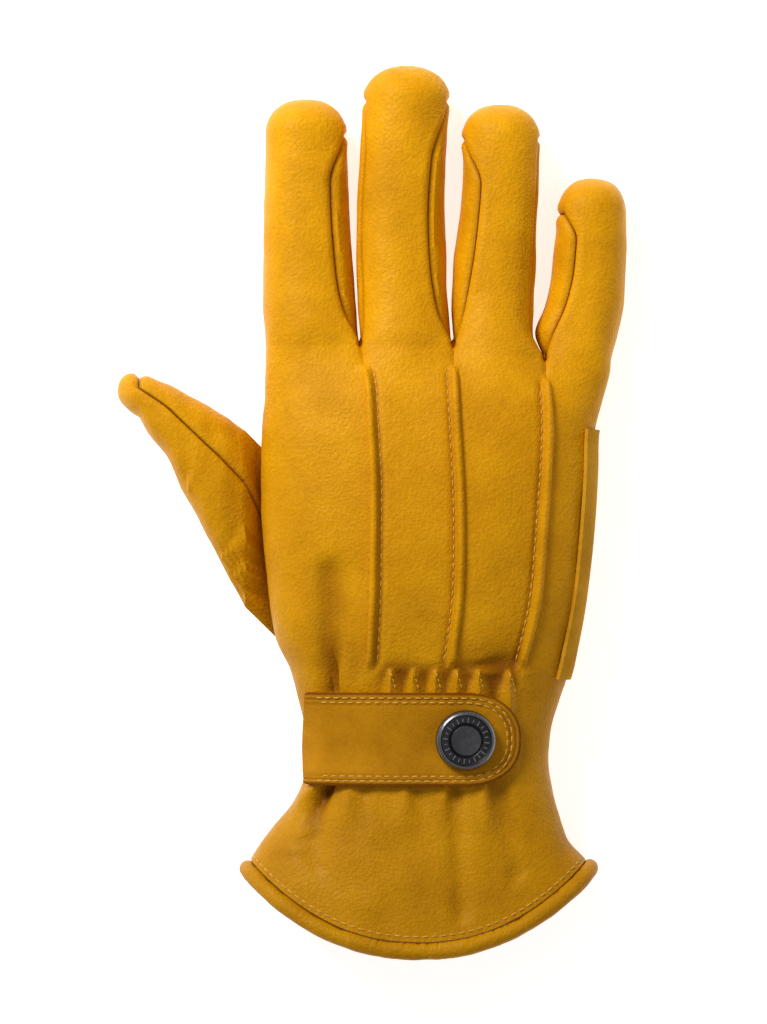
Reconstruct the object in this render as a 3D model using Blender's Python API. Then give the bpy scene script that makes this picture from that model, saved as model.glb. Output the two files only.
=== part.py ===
"""A short leather motorcycle glove for the right hand, lying palm down.

The skin of the glove is worked out first as one closed surface: a trunk from
the hem to the knuckles, four fingers and a thumb. Its faces are named by the
leather panel that they belong to. Each panel is then cut out of the skin,
given its thickness and drawn back a little from its seams.

X runs from the thumb side to the little finger, Y from the hem to the
fingertips and Z up out of the back of the hand. Lengths are in metres.
"""

import math

import bmesh
import bpy
import numpy as np
from mathutils import Vector

# Driving sizes of the whole glove
HAND_WIDTH = 0.094
HAND_DEPTH = 0.035
HAND_LENGTH = 0.1095  # from the middle of the strap to the finger crotches
CUFF_LENGTH = 0.0591  # from the middle of the strap to the lowest point of the hem
HEM_SAG = 0.0215  # how far the middle of the hem hangs below its two ends
INDEX_LENGTH = 0.0692
MIDDLE_LENGTH = 0.0788
RING_LENGTH = 0.0683
LITTLE_LENGTH = 0.0512
FINGER_DEPTH = 0.0205
FINGERTIP = 0.0100  # length of the rounded cap of a finger
THUMB_REACH = 0.0410  # from the hand's left edge to the tip of the thumb
THUMB_DEPTH = 0.0210

# Leather and seams
LEATHER = 0.0012
SEAM_GAP = 0.0003  # between the edges of two panels that are sewn together
WEB_BOW = 0.0028  # how far the web between two fingers curves toward the tips
TUCK_WIDTH = 0.0024
TUCK_HEIGHT = 0.0015
PLEAT_HEIGHT = 0.0014
KNUCKLE_DIP = 0.0050  # depth of the valley at a finger crotch
KNUCKLE_REACH = 0.0160  # length over which that valley fades out

# Strap, snap, hem and patch
STRAP_WIDTH = 0.0262
STRAP_THICKNESS = 0.0022
STRAP_CLEARANCE = 0.0006
SNAP_DIAMETER = 0.0168
SNAP_HEIGHT = 0.0026
SNAP_POST_DIAMETER = 0.0044
SNAP_CLEARANCE = 0.0003
HEM_ROLL = 0.0047
PATCH_THICKNESS = 0.0012

# Sections of the trunk. along is a share of CUFF_LENGTH below the strap's
# middle and of HAND_LENGTH above it, left and right are shares of HAND_WIDTH
# from the glove's middle line, and top is a share of HAND_DEPTH.
TRUNK = (
    # along, left, right, top
    (-0.578, -0.357, 0.637, 1.06),
    (-0.50, -0.325, 0.592, 1.04),
    (-0.42, -0.290, 0.569, 1.01),
    (-0.33, -0.238, 0.551, 0.97),
    (-0.24, -0.207, 0.537, 0.94),
    (-0.15, -0.195, 0.528, 0.92),
    (-0.05, -0.190, 0.527, 0.91),
    (0.03, -0.197, 0.533, 0.92),
    (0.10, -0.217, 0.558, 0.94),
    (0.18, -0.240, 0.588, 0.97),
    (0.23, -0.268, 0.600, 0.98),
    (0.30, -0.292, 0.616, 0.99),
    (0.42, -0.310, 0.636, 1.00),
    (0.55, -0.324, 0.651, 1.00),
    (0.68, -0.325, 0.660, 0.98),
    (0.79, -0.324, 0.664, 0.94),
    (0.87, -0.317, 0.681, 0.89),
    (1.00, -0.315, 0.715, 0.81),
)
TRUNK_MIDDLE = 0.44  # height of the widest point, a share of HAND_DEPTH
TRUNK_UNDER = 0.06  # how far the uncut form would reach below the surface
HEM_FADE = -0.14  # where the hem's sag has faded out
SAG_CURVE = 2.2
TOP_ROUNDNESS = 2.5
UNDER_ROUNDNESS = 2.8

# The three lines that the tucks follow and that end in the finger crotches,
# as shares of HAND_WIDTH from the middle line.
TUCK_LINES = (
    # along, first, second, third
    (-0.578, 0.010, 0.205, 0.400),
    (0.00, -0.003, 0.220, 0.396),
    (0.19, -0.003, 0.235, 0.446),
    (0.35, 0.006, 0.259, 0.488),
    (0.50, 0.009, 0.265, 0.505),
    (0.65, 0.009, 0.262, 0.518),
    (0.80, 0.000, 0.253, 0.525),
    (0.91, -0.009, 0.247, 0.521),
    (1.00, -0.032, 0.244, 0.516),
)
TUCK_START = 0.19
TUCK_END = 0.955

# How far the crotch row lies below the middle finger's, at the left edge, the
# three crotches and the right edge, as shares of HAND_LENGTH.
CROTCH_DROP = (0.0, 0.0, 0.003, 0.037, 0.055)
CROTCH_DROP_START = 0.72
KNUCKLE_BLEND = 0.5  # how much of a finger's section the last row of the trunk takes
FINGER_BLEND_END = 0.32  # share of a finger at which nothing of the trunk's section is left
PALM_VALLEY = 0.7  # the valley on the palm, a share of the one on the back

# Fingers. along is a share of the finger's length from its crotch, left and
# right are shares of HAND_WIDTH from the middle line, top is a share of
# FINGER_DEPTH, and back_left and back_right say where the seams of the back
# lie, as shares of the finger's half width.
INDEX = (
    # along, left, right, top, back_left, back_right
    (0.00, -0.315, -0.036, 1.24, -1.0, 0.96),
    (0.06, -0.317, -0.040, 1.22, -1.0, 0.86),
    (0.20, -0.321, -0.049, 1.16, -1.0, 0.70),
    (0.40, -0.318, -0.058, 1.10, -1.0, 0.61),
    (0.60, -0.315, -0.068, 1.04, -1.0, 0.60),
    (0.80, -0.314, -0.074, 0.98, -1.0, 0.64),
    (0.90, -0.314, -0.075, 0.96, -1.0, 0.70),
)
MIDDLE = (
    (0.00, -0.028, 0.240, 1.32, -0.96, 0.96),
    (0.06, -0.034, 0.236, 1.29, -0.92, 0.84),
    (0.20, -0.040, 0.228, 1.22, -0.90, 0.70),
    (0.35, -0.045, 0.223, 1.15, -0.90, 0.64),
    (0.50, -0.041, 0.220, 1.10, -0.91, 0.64),
    (0.70, -0.030, 0.226, 1.05, -0.91, 0.68),
    (0.88, -0.021, 0.232, 1.00, -0.92, 0.74),
)
RING = (
    (0.00, 0.249, 0.511, 1.26, -0.96, 0.96),
    (0.07, 0.243, 0.484, 1.22, -0.84, 0.94),
    (0.20, 0.238, 0.482, 1.16, -0.66, 0.93),
    (0.35, 0.246, 0.488, 1.10, -0.56, 0.94),
    (0.50, 0.260, 0.491, 1.06, -0.54, 0.95),
    (0.70, 0.271, 0.500, 1.00, -0.54, 0.95),
    (0.87, 0.271, 0.503, 0.96, -0.62, 0.95),
)
LITTLE = (
    (0.00, 0.520, 0.711, 1.10, -0.96, 1.0),
    (0.06, 0.505, 0.720, 1.08, -0.80, 1.0),
    (0.14, 0.490, 0.731, 1.05, -0.62, 1.0),
    (0.30, 0.518, 0.750, 1.01, -0.52, 1.0),
    (0.45, 0.536, 0.756, 0.98, -0.46, 1.0),
    (0.60, 0.545, 0.759, 0.95, -0.44, 1.0),
    (0.85, 0.560, 0.759, 0.92, -0.50, 1.0),
)
FINGERS = (
    # name, table, length, side panel on the left, side panel on the right
    ("index", INDEX, INDEX_LENGTH, None, "fourchette_index_middle"),
    ("middle", MIDDLE, MIDDLE_LENGTH, "fourchette_index_middle", "fourchette_middle_ring"),
    ("ring", RING, RING_LENGTH, "fourchette_middle_ring", "fourchette_ring_little"),
    ("little", LITTLE, LITTLE_LENGTH, "fourchette_ring_little", None),
)
FINGER_MIDDLE = 0.50  # height of a finger's widest point, a share of FINGER_DEPTH
FINGER_UNDER = 0.03
FINGER_ROUNDNESS = 2.2
PALM_SEAM = 0.80  # where the palm's seams lie, a share of the half width
SIDE_SEAM = 0.22  # angle below the widest point of the hand's side seams
TIP_DROP = 0.16  # how far the end of a fingertip lies below its middle
CAP_ROUNDNESS = 2.3

# Thumb. out is a share of THUMB_REACH from the hand's left edge, upper and
# lower are the two edges of the outline as shares of HAND_LENGTH above the
# strap, and depth is a share of THUMB_DEPTH.
THUMB = (
    # out, upper, lower, depth
    (0.13, 0.785, 0.333, 0.92),
    (0.27, 0.821, 0.435, 1.00),
    (0.42, 0.854, 0.537, 1.02),
    (0.55, 0.882, 0.627, 0.98),
    (0.66, 0.903, 0.708, 0.92),
    (0.76, 0.918, 0.760, 0.84),
    (0.85, 0.926, 0.818, 0.74),
)
THUMB_TIP = 0.890
THUMB_START = 0.742
THUMB_END = 0.230
THUMB_BITE = 0.19  # how far the thumb cuts into the palm, a share of HAND_WIDTH
THUMB_BITE_CURVE = 0.8
THUMB_MIDDLE = 0.52
THUMB_TIP_DROP = 0.1
THUMB_ROUNDNESS = 2.2
THUMB_CAP_ROUNDNESS = 2.2
THUMB_ROOT = (0.25, 0.06)  # how much of its root's height each of the first rows keeps
GUSSET_STEPS = 3  # columns of the thumb on each side of its upper edge

# Dents and folds of the back: ends as (x, along), shares of HAND_WIDTH and of
# the lengths that TRUNK uses, reach as a share of HAND_WIDTH and depth as a
# share of HAND_DEPTH.
DENTS = (
    # x0, along0, x1, along1, reach, depth
    (-0.080, 0.41, -0.113, 0.13, 0.034, 0.055),
    (0.277, 0.20, 0.417, 0.20, 0.040, 0.040),
    (-0.122, -0.20, -0.095, -0.46, 0.026, 0.085),
    (0.247, -0.22, 0.268, -0.50, 0.028, 0.035),
    (0.380, -0.20, 0.430, -0.46, 0.028, 0.035),
)

# Pleats of the elastic gathers: x as shares of HAND_WIDTH.
PLEATS = (0.057, 0.125, 0.190, 0.252, 0.316, 0.407)
PLEAT_ALONG = 0.155
PLEAT_REACH = 0.022
PLEAT_WIDTH = 0.018

# Places on the strap, as shares of HAND_WIDTH from the middle line.
STRAP_START = -0.178
STRAP_ROUND = 0.270  # where its rounded end begins
STRAP_TIP = 0.432
SNAP_X = 0.274
STRAP_ALONG = 0.002  # the strap's middle line, a share of HAND_LENGTH
STRAP_END_ROUNDNESS = 2.4
STRAP_CROWDING = 1.35  # above 1, columns lie closer together toward the tip
STRAP_LAST = 0.98  # last column, a share of the way through the rounded end

# The patch, from and to as shares of HAND_LENGTH above the strap.
PATCH_START = 0.80
PATCH_END = 0.152
PATCH_PALM = 0.33  # inner edge of the patch on the palm, a share of HAND_WIDTH

# Where the skin rises off the floor for the patch and the hem: start and end
# of each slope, measured outward from the patch's edges and up from the hem.
PATCH_SIDE_SLOPE = (0.10, 0.03)
PATCH_END_SLOPE = (0.10, 0.02)
HEM_SLOPE = (-0.558, -0.36)

# The snap's profile from its foot to its middle, as shares of its radius and height.
SNAP_PROFILE = ((0.90, 0.0), (1.00, 0.25), (0.98, 0.62), (0.88, 1.00), (0.82, 0.96), (0.78, 0.80),
                (0.54, 0.86), (0.50, 0.72), (0.45, 0.88), (0.00, 0.92))

# Steps of the mesh
TRUNK_ROWS = (-0.578, -0.50, -0.42, -0.33, -0.24, -0.15, -0.06, 0.03, 0.115, 0.152, 0.19,
              0.23, 0.294, 0.358, 0.422, 0.486, 0.55, 0.614, 0.678, 0.742,
              0.80, 0.86, 0.91, 0.955, 1.00)
FINGER_ROWS = (0.03, 0.08, 0.16, 0.27, 0.40, 0.54, 0.68, 0.82, 1.0)
CAP_ROWS = (0.40, 0.72, 0.93, 1.0)
BACK_STEPS = 6
SIDE_STEPS = 3
PALM_STEPS = 3
OUTER_PALM_STEPS = 5
TUCK_STEP = 0.09
HEM_SIDES = 8
STRAP_COLUMNS = 16
STRAP_ROWS = 4
SNAP_SIDES = 28
PATCH_BACK_COLUMN = 3  # the first column of the outer strip that the patch covers
PATCH_PALM_COLUMN = 1
WELD_REACH = 2e-5
TINY = 1e-6
SEAM_FLOOR = 0.4
MITRE_FLOOR = 0.2
MITRE_LIMIT = 1.35
SHARP_ANGLE = math.radians(40)
POST_HOLE_SIDES = 16

LEATHER_COLOUR = (0.73, 0.36, 0.012, 1.0)
STRAP_COLOUR = (0.62, 0.31, 0.02, 1.0)
SUEDE_COLOUR = (0.70, 0.40, 0.06, 1.0)
METAL_COLOUR = (0.10, 0.10, 0.11, 1.0)


def smooth_read(places, values, at):
    """Reads a table between its rows along a smooth curve through them."""
    places = np.asarray(places, float)
    values = np.asarray(values, float)
    at = np.clip(np.asarray(at, float), places[0], places[-1])
    slopes = np.gradient(values, places)
    low = np.clip(np.searchsorted(places, at, side="right") - 1, 0, len(places) - 2)
    span = places[low + 1] - places[low]
    t = (at - places[low]) / span
    return ((2 * t**3 - 3 * t**2 + 1) * values[low] + (t**3 - 2 * t**2 + t) * span * slopes[low]
            + (3 * t**2 - 2 * t**3) * values[low + 1] + (t**3 - t**2) * span * slopes[low + 1])


def column(table, number, at):
    return smooth_read([row[0] for row in table], [row[number] for row in table], at)


def ease(start, end, at):
    """Rises smoothly from 0 at start to 1 at end."""
    t = np.clip((np.asarray(at, float) - start) / (end - start), 0, 1)
    return t * t * (3 - 2 * t)


def power(base, exponent):
    return np.sign(base) * np.abs(base) ** exponent


def angle_of(share, roundness):
    """The angle on a rounded section whose x is this share of the half width."""
    return math.acos(float(power(np.clip(share, -1, 1), roundness / 2)))


def along_to_y(along):
    """Y of a place on the trunk, before the hem's sag and the crotch drop."""
    along = np.asarray(along, float)
    return np.where(along < 0, along * CUFF_LENGTH, along * HAND_LENGTH)


def hem_share(along):
    """1 at the hem, fading to 0 under the strap."""
    return 1 - ease(TRUNK[0][0], HEM_FADE, along)


def floor_height(x, along):
    """The lowest the skin may lie, so that the patch and the hem rest on Z 0."""
    rise = PATCH_THICKNESS + SEAM_GAP
    far, near = PATCH_SIDE_SLOPE
    beside = ease(PATCH_PALM - far, PATCH_PALM - near, np.asarray(x) / HAND_WIDTH)
    far, near = PATCH_END_SLOPE
    above_end = ease(PATCH_END - far, PATCH_END - near, along)
    below_start = 1 - ease(PATCH_START + near, PATCH_START + far, along)
    at_hem = (HEM_ROLL - LEATHER) / 2 * (1 - ease(HEM_SLOPE[0], HEM_SLOPE[1], along))
    return np.maximum(rise * beside * above_end * below_start, at_hem)


def dent_depth(x, along):
    """Depth of the dents and folds of the back at a place."""
    total = 0.0
    x = np.asarray(x) / HAND_WIDTH
    stretch = HAND_LENGTH / HAND_WIDTH
    for x0, along0, x1, along1, reach, depth in DENTS:
        dx, dy = x1 - x0, (along1 - along0) * stretch
        t = np.clip(((x - x0) * dx + (along - along0) * stretch * dy) / (dx * dx + dy * dy), 0, 1)
        away = np.hypot(x - x0 - t * dx, (along - along0) * stretch - t * dy)
        total = total + depth * HAND_DEPTH * np.exp(-(away / reach) ** 2)
    return total


def trunk_section(along):
    """Left, right, top and widest height of the trunk at a place."""
    left = column(TRUNK, 1, along) * HAND_WIDTH
    right = column(TRUNK, 2, along) * HAND_WIDTH
    top = column(TRUNK, 3, along) * HAND_DEPTH
    return left, right, top, TRUNK_MIDDLE * HAND_DEPTH


def trunk_point(along, angle, dented=True):
    """X and Z of the trunk at an angle, 0 at its right edge and pi at its left."""
    left, right, top, middle = trunk_section(along)
    over = np.sin(angle) >= 0
    roundness = np.where(over, TOP_ROUNDNESS, UNDER_ROUNDNESS)
    reach = np.where(over, top - middle, middle + TRUNK_UNDER * HAND_DEPTH)
    x = (left + right) / 2 + (right - left) / 2 * power(np.cos(angle), 2 / roundness)
    z = middle + reach * power(np.sin(angle), 2 / roundness)
    dent = dent_depth(x, along) if dented else 0.0
    z = np.where(over, z - dent, np.maximum(z, floor_height(x, along)))
    return x, z


def trunk_y(along, x, strip, across):
    """Y of the trunk at a place, with the hem's sag and the crotch drop."""
    left, right, _, _ = trunk_section(along)
    share = (2 * x - left - right) / (right - left)
    sag = HEM_SAG * hem_share(along) * (1 - np.clip(np.abs(share), 0, 1) ** SAG_CURVE)
    drop = CROTCH_DROP[strip] * (1 - across) + CROTCH_DROP[strip + 1] * across
    return along_to_y(along) - sag - drop * HAND_LENGTH * ease(CROTCH_DROP_START, 1, along)


def tuck_x(line, along):
    return column(TUCK_LINES, line + 1, along) * HAND_WIDTH


def trunk_angle_at(along, x, over):
    """The angle at which the trunk's section passes over or under x."""
    left, right, _, _ = trunk_section(along)
    share = (2 * x - left - right) / (right - left)
    if over:
        return angle_of(share, TOP_ROUNDNESS)
    return 2 * math.pi - angle_of(share, UNDER_ROUNDNESS)


def strip_angles(along, strip, steps, over):
    """Angles of the columns of one finger's strip of the trunk, left to right."""
    sides = []
    for end in (0, 1):
        line = strip + end - 1
        outward = 1 if end == 0 else -1
        if 0 <= line <= 2:
            x = tuck_x(line, along)
            edge = trunk_angle_at(along, x, over)
            foot = trunk_angle_at(along, x + outward * TUCK_WIDTH / 2, over)
            sides.append([edge, foot] if over else [edge])
        elif end == 0:
            sides.append([palm_left_angle(along)] if not over else [math.pi + SIDE_SEAM])
        else:
            sides.append([2 * math.pi - SIDE_SEAM] if not over else [-SIDE_SEAM])
    start, stop = sides[0][-1], sides[1][-1]
    inner = [start + (stop - start) * n / steps for n in range(steps + 1)]
    return sides[0][:-1] + inner + sides[1][:-1][::-1]


def strip_shares(strip, steps, over):
    """How far across the strip each of those columns lies."""
    low = TUCK_STEP if over and strip > 0 else 0.0
    high = 1 - TUCK_STEP if over and strip < 3 else 1.0
    inner = [low + (high - low) * n / steps for n in range(steps + 1)]
    return ([0.0] if low else []) + inner + ([1.0] if high < 1 else [])


def palm_left_angle(along):
    """Where the palm's left boundary lies, which the thumb cuts into."""
    side = math.pi + SIDE_SEAM
    if not THUMB_END < along < THUMB_START:
        return side
    left = trunk_section(along)[0]
    bite = math.sin(math.pi * (along - THUMB_END) / (THUMB_START - THUMB_END)) ** THUMB_BITE_CURVE
    reached = trunk_angle_at(along, left + THUMB_BITE * HAND_WIDTH, False)
    return side + (reached - side) * bite


def finger_section(finger, along):
    """Left, right, top and the two back seams of a finger at a share of it."""
    table = FINGERS[finger][1]
    left, right = (column(table, n, along) * HAND_WIDTH for n in (1, 2))
    return left, right, column(table, 3, along) * FINGER_DEPTH, column(table, 4, along), column(table, 5, along)


def finger_point(finger, along, angle):
    left, right, top, _, _ = finger_section(finger, along)
    middle = FINGER_MIDDLE * FINGER_DEPTH + (top - FINGER_DEPTH) / 2
    over = np.sin(angle) >= 0
    reach = np.where(over, top - middle, middle + FINGER_UNDER * FINGER_DEPTH)
    x = (left + right) / 2 + (right - left) / 2 * power(np.cos(angle), 2 / FINGER_ROUNDNESS)
    z = middle + reach * power(np.sin(angle), 2 / FINGER_ROUNDNESS)
    return x, np.maximum(z, 0.0)


def finger_corners(finger, along):
    """Angles of a finger's four seams: back left, back right, palm right, palm left."""
    _, _, _, back_left, back_right = finger_section(finger, along)
    corners = [angle_of(back_left, FINGER_ROUNDNESS), angle_of(back_right, FINGER_ROUNDNESS),
               -angle_of(PALM_SEAM, FINGER_ROUNDNESS), angle_of(PALM_SEAM, FINGER_ROUNDNESS) - math.pi]
    if FINGERS[finger][3] is None:
        corners[0] = math.pi + SIDE_SEAM
        corners[3] = SIDE_SEAM - math.pi
    if FINGERS[finger][4] is None:
        corners[1] = corners[2] = -SIDE_SEAM
    return corners


def pulled(points, start, end):
    """Moves the two ends of a row onto the given points, fading toward its middle."""
    points = np.array(points, float)
    share = np.linspace(0, 1, len(points))[:, None]
    points += (1 - share) ** 3 * (np.asarray(start) - points[0])
    points += share ** 3 * (np.asarray(end) - points[-1])
    return points


def crotch_point(line, along, over):
    """A place on the valley that leads up to a crotch, on the back or the palm."""
    x = tuck_x(line, along)
    angle = trunk_angle_at(along, x, over)
    x, z = trunk_point(along, angle)
    y = trunk_y(along, x, line, 1.0)
    below_crotch = (1 - along) * HAND_LENGTH
    depth = KNUCKLE_DIP * (1 - np.clip(below_crotch / KNUCKLE_REACH, 0, 1)) ** 2
    return np.array([x, y, z - depth if over else z + PALM_VALLEY * depth])


def strip_row(strip, along, over):
    """One row of a finger's strip on the trunk, left to right."""
    steps = BACK_STEPS if over else (OUTER_PALM_STEPS if strip in (0, 3) else PALM_STEPS)
    angles = strip_angles(along, strip, steps, over)
    shares = strip_shares(strip, steps, over)
    row = []
    blend = KNUCKLE_BLEND * ease(1 - KNUCKLE_REACH / HAND_LENGTH, 1, along)
    corners = finger_corners(strip, 0.0)
    first, last = (corners[0], corners[1]) if over else (corners[3] + 2 * math.pi, corners[2] + 2 * math.pi)
    for angle, share in zip(angles, shares):
        x, z = trunk_point(along, angle)
        if blend > 0:
            fx, fz = finger_point(strip, 0.0, first + (last - first) * share)
            x, z = x + blend * (fx - x), z + blend * (fz - z)
            if not over:
                z = max(z, float(floor_height(x, along)))
        row.append((x, trunk_y(along, x, strip, share), z))
    start = crotch_point(strip - 1, along, over) if strip > 0 else row[0]
    end = crotch_point(strip, along, over) if strip < 3 else row[-1]
    return pulled(row, start, end)


def finger_y(finger, share, across):
    """Y at a share of the way from the crotch row to the foot of the cap."""
    drop = CROTCH_DROP[finger] * (1 - across) + CROTCH_DROP[finger + 1] * across
    foot = HAND_LENGTH * (1 - drop)
    crotch = HAND_LENGTH * (1 - CROTCH_DROP[max(finger, 1)])
    end = crotch + FINGERS[finger][2] - FINGERTIP
    return foot + (end - foot) * share


def finger_ring(finger, share):
    """The four arcs of a finger at a share of its length below the cap."""
    length = FINGERS[finger][2]
    along = share * (1 - FINGERTIP / length)
    corners = finger_corners(finger, along)
    blend = 1 - KNUCKLE_BLEND * (1 - ease(0, FINGER_BLEND_END, share))

    def arc(first, last, shares, place):
        row = []
        for s in shares:
            x, z = finger_point(finger, along, first + (last - first) * s)
            row.append((x, finger_y(finger, share, place(s)), z))
        return np.array(row, float)

    back_shares = strip_shares(finger, BACK_STEPS, True)
    palm_steps = OUTER_PALM_STEPS if finger in (0, 3) else PALM_STEPS
    palm_shares = strip_shares(finger, palm_steps, False)
    side_shares = [n / SIDE_STEPS for n in range(SIDE_STEPS + 1)]
    back = arc(corners[0], corners[1], back_shares, lambda s: s)
    palm = arc(corners[3], corners[2], palm_shares, lambda s: s)
    if blend < 1:
        for over, row in ((True, back), (False, palm)):
            trunk = strip_row(finger, 1.0, over)
            mixed = row.copy()
            mixed[:, (0, 2)] += (1 - blend) * (trunk - row)[:, (0, 2)]
            row[:] = pulled(mixed, row[0], row[-1])
    right = arc(corners[1], corners[2], side_shares, lambda s: 1.0)
    left = arc(corners[0] - 2 * math.pi, corners[3], side_shares, lambda s: 0.0)
    return back, right, palm, left


def web_row(line):
    """The middle of the web between two fingers, from the back to the palm."""
    top = crotch_point(line, 1.0, True)
    under = crotch_point(line, 1.0, False)
    row = []
    for n in range(SIDE_STEPS + 1):
        share = n / SIDE_STEPS
        point = top + (under - top) * share
        point[1] += WEB_BOW * 4 * share * (1 - share)
        row.append(point)
    return np.array(row)


class Skin:
    """The closed surface of the glove, its faces named by panel."""

    def __init__(self):
        self.mesh = bmesh.new()
        self.panels = []
        self.layer = self.mesh.faces.layers.int.new("panel")
        self.relief = self.mesh.verts.layers.float.new("relief")

    def grid(self, rows, panel, relief=None):
        """Adds the faces between rows of points, for one panel or one for each row."""
        made = []
        for number, row in enumerate(rows):
            line = []
            for place, point in enumerate(row):
                vertex = self.mesh.verts.new(Vector([float(c) for c in point]))
                if relief is not None:
                    vertex[self.relief] = float(relief[number][place])
                line.append(vertex)
            made.append(line)
        for number in range(len(made) - 1):
            name = panel[number] if isinstance(panel, list) else panel
            if name not in self.panels:
                self.panels.append(name)
            low, high = made[number], made[number + 1]
            for place in range(len(low) - 1):
                face = self.mesh.faces.new((low[place], low[place + 1], high[place + 1], high[place]))
                face[self.layer] = self.panels.index(name)

    def weld(self):
        bmesh.ops.remove_doubles(self.mesh, verts=self.mesh.verts, dist=WELD_REACH)
        bmesh.ops.dissolve_degenerate(self.mesh, edges=self.mesh.edges, dist=TINY)
        bmesh.ops.recalc_face_normals(self.mesh, faces=self.mesh.faces)
        self.mesh.verts.ensure_lookup_table()
        self.mesh.faces.ensure_lookup_table()


def tuck_relief(x, along):
    """Height of the tucks and pleats over the back at a place."""
    if along < TUCK_START or along > TUCK_END:
        height = 0.0
    else:
        near = min(abs(x - tuck_x(line, along)) for line in range(3))
        height = TUCK_HEIGHT if near < TUCK_WIDTH / 4 else 0.0
    fade = math.exp(-((along - PLEAT_ALONG) / PLEAT_REACH) ** 2)
    if fade > 0.05:
        near = min(abs(x / HAND_WIDTH - place) for place in PLEATS)
        height += PLEAT_HEIGHT * fade * math.exp(-(near / PLEAT_WIDTH) ** 2)
    return height


def add_trunk(skin):
    for strip in range(4):
        for over, panel in ((True, "back_panel"), (False, "palm_panel")):
            rows = [strip_row(strip, along, over) for along in TRUNK_ROWS]
            relief = None
            if over:
                relief = [[tuck_relief(point[0], along) for point in row]
                          for along, row in zip(TRUNK_ROWS, rows)]
            skin.grid(rows, panel, relief)


def add_fingers(skin):
    for finger, (_, _, _, left_panel, right_panel) in enumerate(FINGERS):
        rings = [finger_ring(finger, share) for share in FINGER_ROWS]
        foot = rings[-1]
        everything = np.vstack(foot)
        axis = (everything.min(0) + everything.max(0)) / 2
        axis[2] -= TIP_DROP * FINGER_DEPTH
        caps = []
        for share in CAP_ROWS:
            scale = (1 - share ** CAP_ROUNDNESS) ** (1 / CAP_ROUNDNESS)
            lift = np.array([0, FINGERTIP * share, 0])
            caps.append([axis + scale * (arc - axis) + lift for arc in foot])
        for side, over, panel in ((0, True, "back_panel"), (2, False, "palm_panel")):
            start = strip_row(finger, 1.0, over)
            skin.grid([start] + [ring[side] for ring in rings] + [cap[side] for cap in caps], panel)
        for side, panel, line in ((1, right_panel, finger), (3, left_panel, finger - 1)):
            if panel is None:
                continue
            rows = [web_row(line)] + [ring[side] for ring in rings]
            skin.grid(rows, panel)
            skin.grid([rings[-1][side]] + [cap[side] for cap in caps], "back_panel")


def thumb_ring(upper, lower, out, depth, count):
    """One closed row of the thumb: along its top from the upper edge, then under it."""
    upper, lower = (np.array([out, value, 0.0]) for value in (upper, lower))
    centre = (upper + lower) / 2
    half = (upper - lower) / 2
    middle = THUMB_MIDDLE * THUMB_DEPTH
    row = []
    for n in range(2 * count + 1):
        angle = math.pi * n / count
        point = centre + half * power(math.cos(angle), 2 / THUMB_ROUNDNESS)
        point[2] = max(middle + depth / 2 * power(math.sin(angle), 2 / THUMB_ROUNDNESS), 0.0)
        row.append(point)
    return np.array(row)


def add_thumb(skin):
    alongs = [a for a in TRUNK_ROWS if THUMB_END - TINY <= a <= THUMB_START + TINY][::-1]
    count = len(alongs) - 1
    back = [strip_row(0, along, True)[0] for along in alongs]
    palm = [strip_row(0, along, False)[0] for along in alongs]
    base = np.array(back + palm[::-1][1:])
    edge = trunk_section(0.5)[0]
    rows = [base]
    for number, (out, upper, lower, depth) in enumerate(THUMB):
        ring = thumb_ring(upper * HAND_LENGTH, lower * HAND_LENGTH, edge - out * THUMB_REACH,
                          depth * THUMB_DEPTH, count)
        if number < len(THUMB_ROOT):
            ring[:, 2] += THUMB_ROOT[number] * (base[:, 2] - ring[:, 2])
        rows.append(ring)
    foot = rows[-1]
    tip = np.array([edge - THUMB_REACH, THUMB_TIP * HAND_LENGTH, (THUMB_MIDDLE - THUMB_TIP_DROP) * THUMB_DEPTH])
    middle = (foot.min(0) + foot.max(0)) / 2
    for share in CAP_ROWS[1:]:
        scale = (1 - share ** THUMB_CAP_ROUNDNESS) ** (1 / THUMB_CAP_ROUNDNESS)
        rows.append(middle + (tip - middle) * share + scale * (foot - middle))
    gusset_rows = len(THUMB) + 1
    total = 2 * count
    split = GUSSET_STEPS
    body = [row[split:total - split + 1] for row in rows]
    front = [row[:split + 1] for row in rows]
    rear = [row[total - split:] for row in rows]
    skin.grid(body, "thumb_outer")
    for part in (front, rear):
        skin.grid(part[:gusset_rows], "thumb_gusset")
        skin.grid(part[gusset_rows - 1:], "thumb_outer")


def mitred_normals(mesh):
    """For each vertex, the way to move so that every face beside it moves by one."""
    result = []
    for vertex in mesh.verts:
        total = Vector()
        for face in vertex.link_faces:
            total += face.normal * face.calc_area()
        direction = total.normalized()
        shares = [max(direction.dot(face.normal), MITRE_FLOOR) for face in vertex.link_faces]
        result.append(direction * min(len(shares) / sum(shares), MITRE_LIMIT))
    return result


def edge_inward(edge, face):
    """The way into a face from one of its edges, in the face's plane."""
    a, b = (v.co for v in edge.verts)
    way = face.normal.cross(b - a).normalized()
    return way if way.dot(face.calc_center_median() - a) > 0 else -way


def seam_move(ways, gap):
    """How far a vertex is drawn back from the seams that it lies on."""
    total = sum(ways, Vector())
    if total.length < TINY:
        return Vector()
    direction = total.normalized()
    reach = sum(max(direction.dot(way), 0.0) for way in ways) / len(ways)
    return direction * gap / 2 / max(reach, SEAM_FLOOR)


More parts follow.
